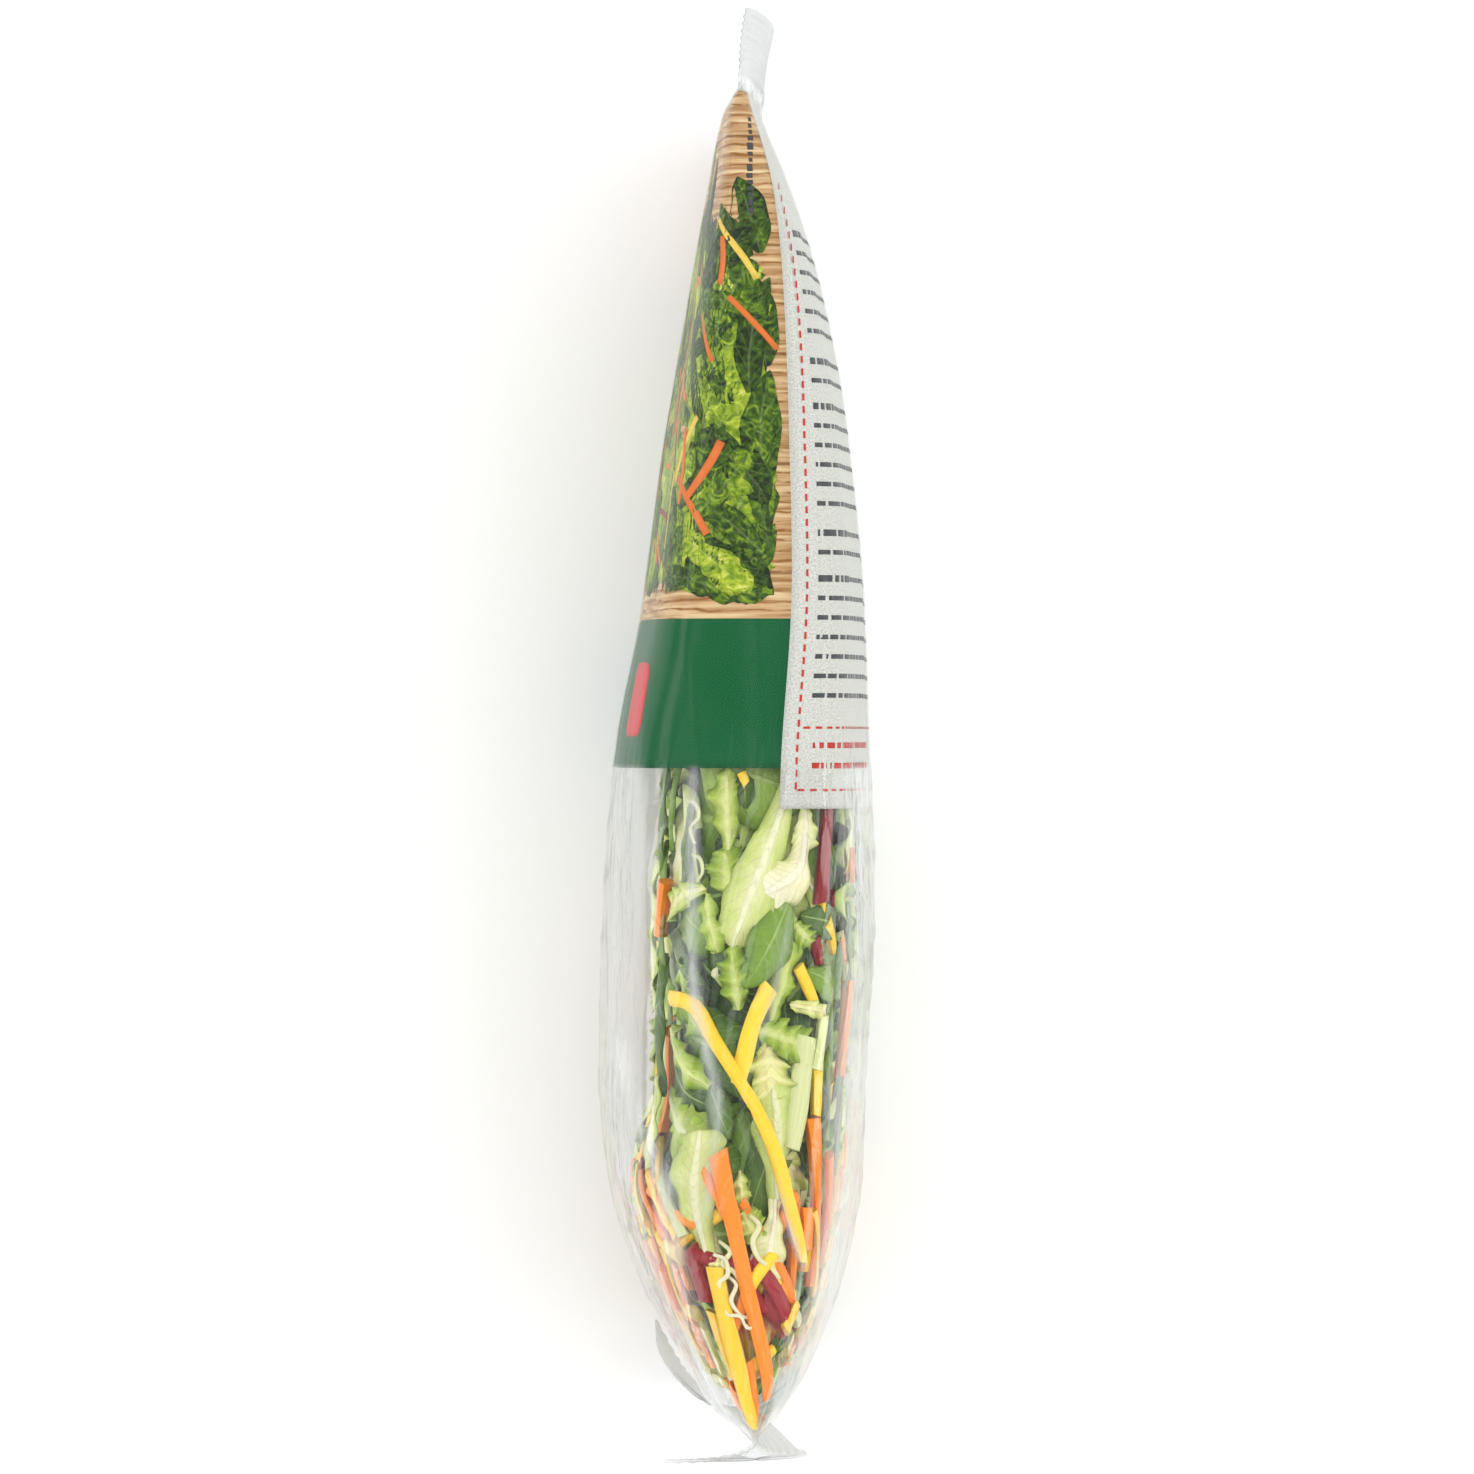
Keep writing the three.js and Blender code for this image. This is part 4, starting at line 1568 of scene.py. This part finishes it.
# stops, half width, depth, tone
GREEN_LEAVES = (
    (((-13.3, -4.0), (-15.2, -22.2)), 2.1, 1.5, 0.55),
    (((-11.7, -12.2), (-13.7, -32.5)), 3.5, 3.2, 0.2),
    (((0.8, -6.1), (1.2, -13.8)), 2.4, 3.5, 0.25),
    (((10.6, -31.9), (6.6, -40.0), (1.3, -48.4)), 4.5, 1.4, 0.6),
    (((-7.5, -34.4), (0.2, -50.8)), 5.8, 5.0, 0.1),
    (((-17.1, -62.3), (-4.0, -72.3)), 6.2, 3.8, 0.15),
    (((21.0, -19.2), (22.1, -29.6)), 1.8, 3.0, 0.2),
    (((13.7, -34.4), (21.8, -37.3)), 3.3, 2.4, 0.3),
    (((15.6, -45.0), (22.1, -51.5)), 3.3, 3.0, 0.6),
    (((-16.8, -38.2), (-8.7, -47.9)), 3.9, 3.4, 0.25),
    (((10.2, -117.2), (6.7, -126.8)), 2.3, 4.0, 0.4),
    (((-5.6, -117.2), (-1.7, -121.6)), 1.8, 4.0, 0.4),
    (((-7.1, -67.1), (-2.1, -77.7)), 2.9, 3.2, 0.35),
    (((-17.0, -3.0), (-18.4, -26.0)), 4.6, 0.5, 0.4),
    (((-19.0, -20.0), (-17.8, -48.0)), 4.2, 1.2, 0.5),
    (((-18.6, -42.0), (-18.8, -70.0)), 5.0, 0.7, 0.3),
    (((23.0, -32.0), (24.4, -52.0)), 3.6, 0.9, 0.45),
    (((24.0, -62.0), (22.6, -84.0)), 3.8, 1.4, 0.35),
)

THREADS = (
    (((-4.8, -99.5), (-2.4, -100.6), (-1.9, -103.4), (-3.6, -105.2), (-2.2, -108.0)), 0.34, 0.3, 0.9),
    (((-2.2, -103.6), (-0.2, -105.4), (-1.2, -108.4), (0.4, -111.0), (2.2, -111.8)), 0.3, 0.3, 0.95),
    (((-2.6, -108.2), (-2.0, -111.0), (0.6, -111.4), (1.9, -113.6), (3.6, -113.4)), 0.24, 0.2, 1.0),
    (((-4.0, -97.0), (-1.4, -99.0), (-3.0, -101.4), (-0.6, -103.0), (0.8, -106.0)), 0.4, 0.9, 0.7),
    (((2.6, -92.0), (4.4, -94.0), (3.2, -97.0), (4.2, -100.0), (6.0, -101.6)), 0.5, 0.6, 0.8),
    (((-10.8, -12.0), (-8.4, -12.8), (-7.6, -15.4), (-9.4, -17.6), (-8.8, -20.6)), 0.26, 0.4, 0.8),
    (((-9.8, -22.6), (-7.4, -23.4), (-7.0, -26.0), (-8.6, -28.0)), 0.22, 0.4, 0.75),
)

PALE_LEAVES = (
    (((12.7, -4.0), (6.0, -22.0), (-1.7, -40.7)), 5.4, 1.0, 0.45),
    (((14.4, -18.4), (12.0, -26.0), (4.0, -31.0)), 5.2, 0.4, 0.9),
    (((14.4, -12.0), (14.4, -21.9)), 2.7, 2.0, 0.7),
    (((-6.4, -101.2), (-8.8, -90.0), (-8.1, -75.6)), 6.3, 1.2, 0.4),
    (((9.4, -89.5), (8.6, -78.0), (7.4, -66.0)), 5.6, 1.8, 0.32),
    (((-17.0, -69.0), (-7.5, -78.5)), 5.4, 3.0, 0.15),
    (((8.6, -89.0), (7.4, -97.0), (5.6, -104.4)), 3.6, 1.5, 0.85),
    (((15.0, -26.0), (18.6, -33.0), (19.4, -42.0)), 4.2, 3.2, 0.3),
    (((23.6, -8.0), (24.8, -27.0)), 3.6, 0.5, 0.7),
    (((-18.4, -66.0), (-19.0, -84.0)), 3.6, 0.6, 0.5),
)

CURLY_LEAVES = (
    (((-2.5, -21.9), (-2.9, -5.3)), 3.9, 1.6, 0.6),
    (((-2.1, -31.5), (-3.7, -21.1)), 3.9, 1.8, 0.5),
    (((-7.5, -30.1), (-4.8, -41.5)), 2.6, 1.4, 0.55),
    (((-7.7, -29.2), (-16.2, -34.2)), 2.9, 1.8, 0.75),
    (((0.0, -52.7), (-1.9, -40.3)), 4.1, 0.6, 0.4),
    (((6.7, -55.4), (10.5, -44.0), (11.6, -33.0)), 4.5, 1.0, 0.45),
    (((-14.4, -42.1), (-8.7, -57.9)), 4.5, 2.2, 0.35),
    (((-15.4, -56.5), (-6.7, -67.3)), 3.9, 1.2, 0.5),
    (((3.9, -56.1), (15.0, -59.6)), 3.9, 0.9, 0.5),
    (((7.1, -58.1), (7.1, -71.2)), 4.3, 1.6, 0.95),
    (((5.4, -98.1), (1.0, -91.6)), 3.3, 0.9, 0.7),
    (((-7.5, -101.2), (-0.4, -101.6)), 1.8, 0.8, 0.85),
    (((0.6, -83.5), (1.9, -92.4)), 2.3, 2.2, 0.7),
    (((11.6, -51.5), (19.8, -53.4)), 1.8, 1.8, 0.95),
    (((11.7, -35.7), (16.4, -40.0)), 2.9, 1.7, 0.5),
    (((-15.8, -71.9), (-7.1, -76.9)), 3.9, 2.6, 0.6),
)


# For each kind: the blade's colours from dark to light, where its two middle ones lie, the rib's colour and
# how strongly it shows, the number of veins, the rib's width, and how much lighter the blade's edge is
LEAF_LOOKS = {
    "green": (("2f4a18", "4f7022", "7a9c30", "b0c65a"), (0.35, 0.65), "a9c070", 0.6, 9.0, 0.13, -0.1),
    "curly": (("6a902a", "a0ba42", "cbd674", "efe8a4"), (0.4, 0.7), "e3e6aa", 0.22, 6.0, 0.6, -0.5),
    "pale": (("98ae42", "c6d276", "e6e5aa", "f4edcc"), (0.35, 0.7), "f3efd6", 0.45, 11.0, 0.45, -0.45),
}


def random_spot(rng, low=-126.0, high=6.0):
    """A place on the salad's skin where its surface shows through the clear film."""
    y = rng.uniform(low, high)
    around = rng.uniform(-1, 1) * float(SALAD.way_round(1.0, y))
    return around, y


def room_at(y):
    """How deep a piece may lie at each y, as the bag gets thin towards its foot."""
    left, right = outline(np.asarray(float(y)))
    return float(right - left) / 2 - 3.0


def scatter_leaves(heap, kind, count, rng, lengths, widths, depths):
    """Leaves of one kind all over the salad's surface, kept deep where the others are listed one by one."""
    for _ in range(count):
        around, y = random_spot(rng)
        depth = rng.uniform(*depths)
        if kind == "curly" and 14 < abs(around) < 50:
            continue
        if abs(around) < 36:
            depth = rng.uniform(3.6, 7.0)
            if kind == "green" and y < -98:
                continue
        if depth > room_at(y):
            continue
        length, half_width = rng.uniform(*lengths), rng.uniform(*widths)
        bend = rng.uniform(-1.1, 1.1) if kind == "curly" else rng.uniform(-0.6, 0.6)
        line = bent_line((around, y), rng.uniform(0, 2 * math.pi), length, bend, 10)
        line[:, 1] += max(half_width - 130 - line[:, 1].min(), 0)
        line[:, 1] = np.minimum(line[:, 1], 12)
        shape, spread = leaf_solid(SALAD, line, half_width, depth, kind, rng)
        heap.add(shape, spread, np.clip(rng.normal(0.45, 0.25), 0.02, 0.98))


def placed_leaves(heap, kind, table, rng):
    """The leaves of one kind that are listed one by one."""
    for stops, half_width, depth, tone in table:
        wide = half_width * (1.3 if kind == "curly" else 1.0)
        shape, spread = leaf_solid(SALAD, on_top(SALAD, stops), wide, depth, kind, rng, detail=1.6)
        heap.add(shape, spread, tone)


class SALADBAG_OT_leaves(bpy.types.Operator):
    """Fills the bag with green, curly and pale leaves, one piece for each kind"""

    bl_idname = "saladbag.leaves"
    bl_label = "Leaves"

    def execute(self, context):
        amount = context.scene.salad
        rng = np.random.default_rng(amount.seed)
        kinds = (
            ("green", GREEN_LEAVES, amount.green_leaves, (26, 48), (6, 12), (3.0, 7.5)),
            ("curly", CURLY_LEAVES, amount.curly_leaves, (18, 36), (6, 11), (0.3, 4.2)),
            ("pale", PALE_LEAVES, amount.pale_leaves, (22, 42), (6, 11), (0.4, 4.0)),
        )
        for kind, table, count, lengths, widths, depths in kinds:
            heap = Heap()
            placed_leaves(heap, kind, table, rng)
            if kind == "pale":
                placed_leaves(heap, "thread", THREADS, rng)
            scatter_leaves(heap, kind, count, rng, lengths, widths, depths)
            codes, middles, rib, share, veins, rib_width, edge = LEAF_LOOKS[kind]
            stops = [(place, linear(code)) for place, code in zip((0.0, *middles, 1.0), codes)]
            material = leaf_material(f"{kind} leaf", stops, linear(rib), share, veins, rib_width, edge)
            heap.build(f"{kind}_leaves", f"{kind}_leaf", material)
        return {"FINISHED"}


def tinted(colour, factor):
    """A colour made darker or lighter."""
    return [min(c * factor, 1.0) for c in colour]


class SALADBAG_OT_sticks(bpy.types.Operator):
    """Fills in the cut sticks of orange carrot, yellow carrot and beetroot, and the stalks"""

    bl_idname = "saladbag.sticks"
    bl_label = "Sticks"

    def execute(self, context):
        amount = context.scene.salad
        rng = np.random.default_rng(amount.seed + 7)
        carrot, yellow = list(amount.carrot_colour), list(amount.yellow_colour)
        beet = list(amount.beet_colour)
        stalk = linear("dbe0a0")
        kinds = (
            ("carrot", CARROT_STICKS, amount.sticks, (14, 52), (2.2, 3.6), carrot, 0.74, "carrot"),
            ("yellow", YELLOW_STICKS, amount.sticks, (12, 46), (2.2, 3.6), yellow, 0.82, "yellow_carrot"),
            ("beet", BEET_STICKS, amount.sticks // 2, (10, 30), (2.4, 3.8), beet, 0.4, "beetroot"),
            ("stalk", STALKS, amount.sticks // 2, (12, 34), (2.0, 3.8), stalk, 0.66, "pale_leaf"),
        )
        for name, table, count, lengths, widths, colour, dark, slot in kinds:
            heap = Heap()
            for stops, width, depth, tone in table:
                shape, spread = stick_solid(SALAD, on_top(SALAD, stops), width, depth, rng)
                heap.add(shape, spread, tone)
            for i in range(count):
                near_foot = i % 5 < 3
                around, y = random_spot(rng, -127.0, -92.0) if near_foot else random_spot(rng)
                steep = 18 < abs(around) < 70
                if not near_foot and (abs(around) < 30 or steep):
                    continue
                depth = rng.uniform(0.4, 3.6) if near_foot else rng.uniform(2.4, 5.0)
                if depth + 2 > room_at(y):
                    continue
                heading = rng.uniform(0, math.pi)
                length = rng.uniform(*lengths) * (0.5 if near_foot else 1.0)
                line = bent_line((around, y), heading, length, rng.uniform(-0.4, 0.4), 8)
                line[:, 1] = np.clip(line[:, 1], -128, 12)
                shape, spread = stick_solid(SALAD, line, rng.uniform(*widths), depth, rng)
                heap.add(shape, spread, rng.uniform(0.25, 0.85))
            light = [min(c * 1.15 + 0.01, 1.0) for c in colour]
            material = stick_material(f"{name} stick", tinted(colour, dark), colour, light)
            heap.build(f"{name}_sticks" if name != "stalk" else "stalks", slot, material, sharp=50)
        return {"FINISHED"}


class SALADBAG_OT_core(bpy.types.Operator):
    """Makes the lumpy dark inside of the salad, coloured dark as painted shade, which closes the view
    between the leaves
    """

    bl_idname = "saladbag.core"
    bl_label = "Salad core"

    def execute(self, context):
        rows = np.linspace(-124, 14, 96)
        shares = np.linspace(-1, 1, 181)[:-1]
        share, y = np.meshgrid(shares, rows)
        lumps = sum(
            np.sin(np.pi * turns * share + wave * y + phase)
            for turns, wave, phase in ((24, 0.31, 0.4), (38, -0.44, 2.1), (14, 0.2, 4.0), (52, 0.6, 1.0))
        )
        depth = np.minimum(8.6 + 0.6 * lumps, (outline(y)[1] - outline(y)[0]) / 2 - 1.5)
        x, z = SALAD.section(SALAD.angle_at(share, y), y, depth)
        rings = np.stack([x, y, z], -1)
        points, faces = closed_rings(rings, rungs(rings.shape[1]))
        spread = np.stack([(share + 1) * 11 % 1, (y / 22) % 1], -1).reshape(-1, 2)
        # Dark greens, mostly darker than the leaves' own: painted shade for the depths between the leaves
        stops = [(0.0, linear("1c2e12")), (0.5, linear("35521f")), (1.0, linear("5d7f34"))]
        material = leaf_material("salad core", stops, linear("6f8c4a"), 0.4, 6.0, 0.1, 0.0)
        self.redden_foot(material)
        tone = 0.5 + 0.12 * lumps.ravel()
        make_object(
            "salad_core", material, points, faces, maps={"grain": spread}, marks={"tone": tone}
        )
        return {"FINISHED"}

    def redden_foot(self, material):
        """Turns the core's foot to the colours of the roots that have sunk there."""
        tree = material.node_tree
        shader = next(node for node in tree.nodes if node.type == "BSDF_PRINCIPLED")
        place = object_place(tree)
        codes = ("8e2a1e", "d0661a", "d8a02c", "b8a84a")
        stops = [(at, linear(code)) for at, code in zip((0.36, 0.45, 0.56, 0.7), codes)]
        root = ramp(tree, noise(tree, place, 130.0, 2.0), stops)
        along = split(tree, place)[1]
        share = between(tree, along, 0.85, 0.0, -112 * MM, -86 * MM)
        leafy = shader.inputs["Base Color"].links[0].from_socket
        tree.links.new(mix(tree, share, leafy, root), shader.inputs["Base Color"])


class SALADBAG_OT_stage(bpy.types.Operator):
    """Makes the white floor, the soft lights and the camera"""

    bl_idname = "saladbag.stage"
    bl_label = "Stage"

    def execute(self, context):
        scene = context.scene
        stage = scene.salad_stage
        self.floor(stage.floor_size / 2)
        self.lights(stage)
        scene.world = self.studio()
        camera = bpy.data.cameras.new("camera")
        camera.sensor_width = 36.0
        distance = stage.camera_height - MIDDLE_Z * MM
        camera.lens = camera.sensor_width * distance / stage.picture_width
        camera.clip_start = 0.1
        camera.clip_end = 30.0
        view = bpy.data.objects.new("camera", camera)
        view.location = (0, 0, stage.camera_height)
        scene.collection.objects.link(view)
        scene.camera = view
        scene.view_settings.view_transform = "Standard"
        return {"FINISHED"}

    def floor(self, half):
        """A large plain floor under the bag."""
        mesh = bpy.data.meshes.new("floor")
        corners = [(-half, -half, 0), (half, -half, 0), (half, half, 0), (-half, half, 0)]
        mesh.from_pydata(corners, [], [(0, 1, 2, 3)])
        material, tree, out = new_material("white floor")
        shade = mix(tree, noise(tree, object_place(tree), 3.0), (0.92, 0.92, 0.92), (0.94, 0.94, 0.94))
        tree.links.new(principled(tree, Base_Color=shade, Roughness=0.8), out.inputs[0])
        mesh.materials.append(material)
        floor = bpy.data.objects.new("floor", mesh)
        bpy.context.scene.collection.objects.link(floor)

    def studio(self):
        """Soft light from all round, with a dim ceiling in what the film mirrors."""
        world = bpy.data.worlds.new("studio")
        world.use_nodes = True
        tree = world.node_tree
        seen = tree.nodes.new("ShaderNodeLightPath").outputs["Is Glossy Ray"]
        background = tree.nodes["Background"]
        background.inputs["Color"].default_value = (0.96, 0.98, 1.0, 1)
        plug(tree, background.inputs["Strength"], maths(tree, "MULTIPLY_ADD", seen, -0.43, 0.52))
        return world

    def lights(self, stage):
        """Soft lights at each side, two that only make the film shine, and a sun that doesn't."""
        for name, side, share in (("left light", -1, 1.0), ("right light", 1, 0.85)):
            self.lamp(name, side, stage.side_light * share, 0.5, 1.05, 0.75, 58)
        for name, side, power in (("left mirror", -1, 3.4), ("right mirror", 1, 1.6)):
            self.lamp(name, side, power, 0.6, 0.5, 1.7, 17).visible_diffuse = False
        sun = bpy.data.lights.new("top light", "SUN")
        sun.energy = stage.top_light
        sun.angle = math.radians(40)
        high = bpy.data.objects.new("top light", sun)
        high.visible_glossy = False
        high.rotation_euler = (math.radians(-8), math.radians(6), 0)
        bpy.context.scene.collection.objects.link(high)

    def lamp(self, name, side, power, width, aside, height, tilt):
        """A long soft light beside the bag, turned towards it."""
        lamp = bpy.data.lights.new(name, "AREA")
        lamp.shape = "RECTANGLE"
        lamp.size, lamp.size_y = width, 1.4
        lamp.energy = power
        thing = bpy.data.objects.new(name, lamp)
        thing.location = (side * aside, 0, height)
        thing.rotation_euler = (0, side * math.radians(tilt), 0)
        bpy.context.scene.collection.objects.link(thing)
        return thing


class SALADBAG_PT_panel(bpy.types.Panel):
    """The sidebar's list of steps and settings"""

    bl_idname = "SALADBAG_PT_panel"
    bl_label = "Salad Bag"
    bl_space_type = "VIEW_3D"
    bl_region_type = "UI"
    bl_category = "Salad Bag"

    def draw(self, context):
        scene = context.scene
        for settings in (scene.salad_bag, scene.salad, scene.salad_stage):
            box = self.layout.box()
            for name in settings.__annotations__:
                box.prop(settings, name)
        for step in STEPS:
            self.layout.operator(step.bl_idname)


STEPS = (
    SALADBAG_OT_film,
    SALADBAG_OT_print,
    SALADBAG_OT_picture,
    SALADBAG_OT_panel,
    SALADBAG_OT_leaves,
    SALADBAG_OT_sticks,
    SALADBAG_OT_core,
    SALADBAG_OT_stage,
)
CLASSES = (BagSettings, SaladSettings, StageSettings, *STEPS, SALADBAG_PT_panel)


def register():
    for each in CLASSES:
        bpy.utils.register_class(each)
    bpy.types.Scene.salad_bag = bpy.props.PointerProperty(type=BagSettings)
    bpy.types.Scene.salad = bpy.props.PointerProperty(type=SaladSettings)
    bpy.types.Scene.salad_stage = bpy.props.PointerProperty(type=StageSettings)


def unregister():
    del bpy.types.Scene.salad_bag
    del bpy.types.Scene.salad
    del bpy.types.Scene.salad_stage
    for each in reversed(CLASSES):
        bpy.utils.unregister_class(each)


def main():
    """Builds every piece and the stage."""
    register()
    build_leaf_veins()
    build_film_wrinkles()
    bpy.ops.saladbag.film()
    bpy.ops.saladbag.print()
    bpy.ops.saladbag.picture()
    bpy.ops.saladbag.panel()
    bpy.ops.saladbag.leaves()
    bpy.ops.saladbag.sticks()
    bpy.ops.saladbag.core()
    bpy.ops.saladbag.stage()


if __name__ == "__main__":
    main()
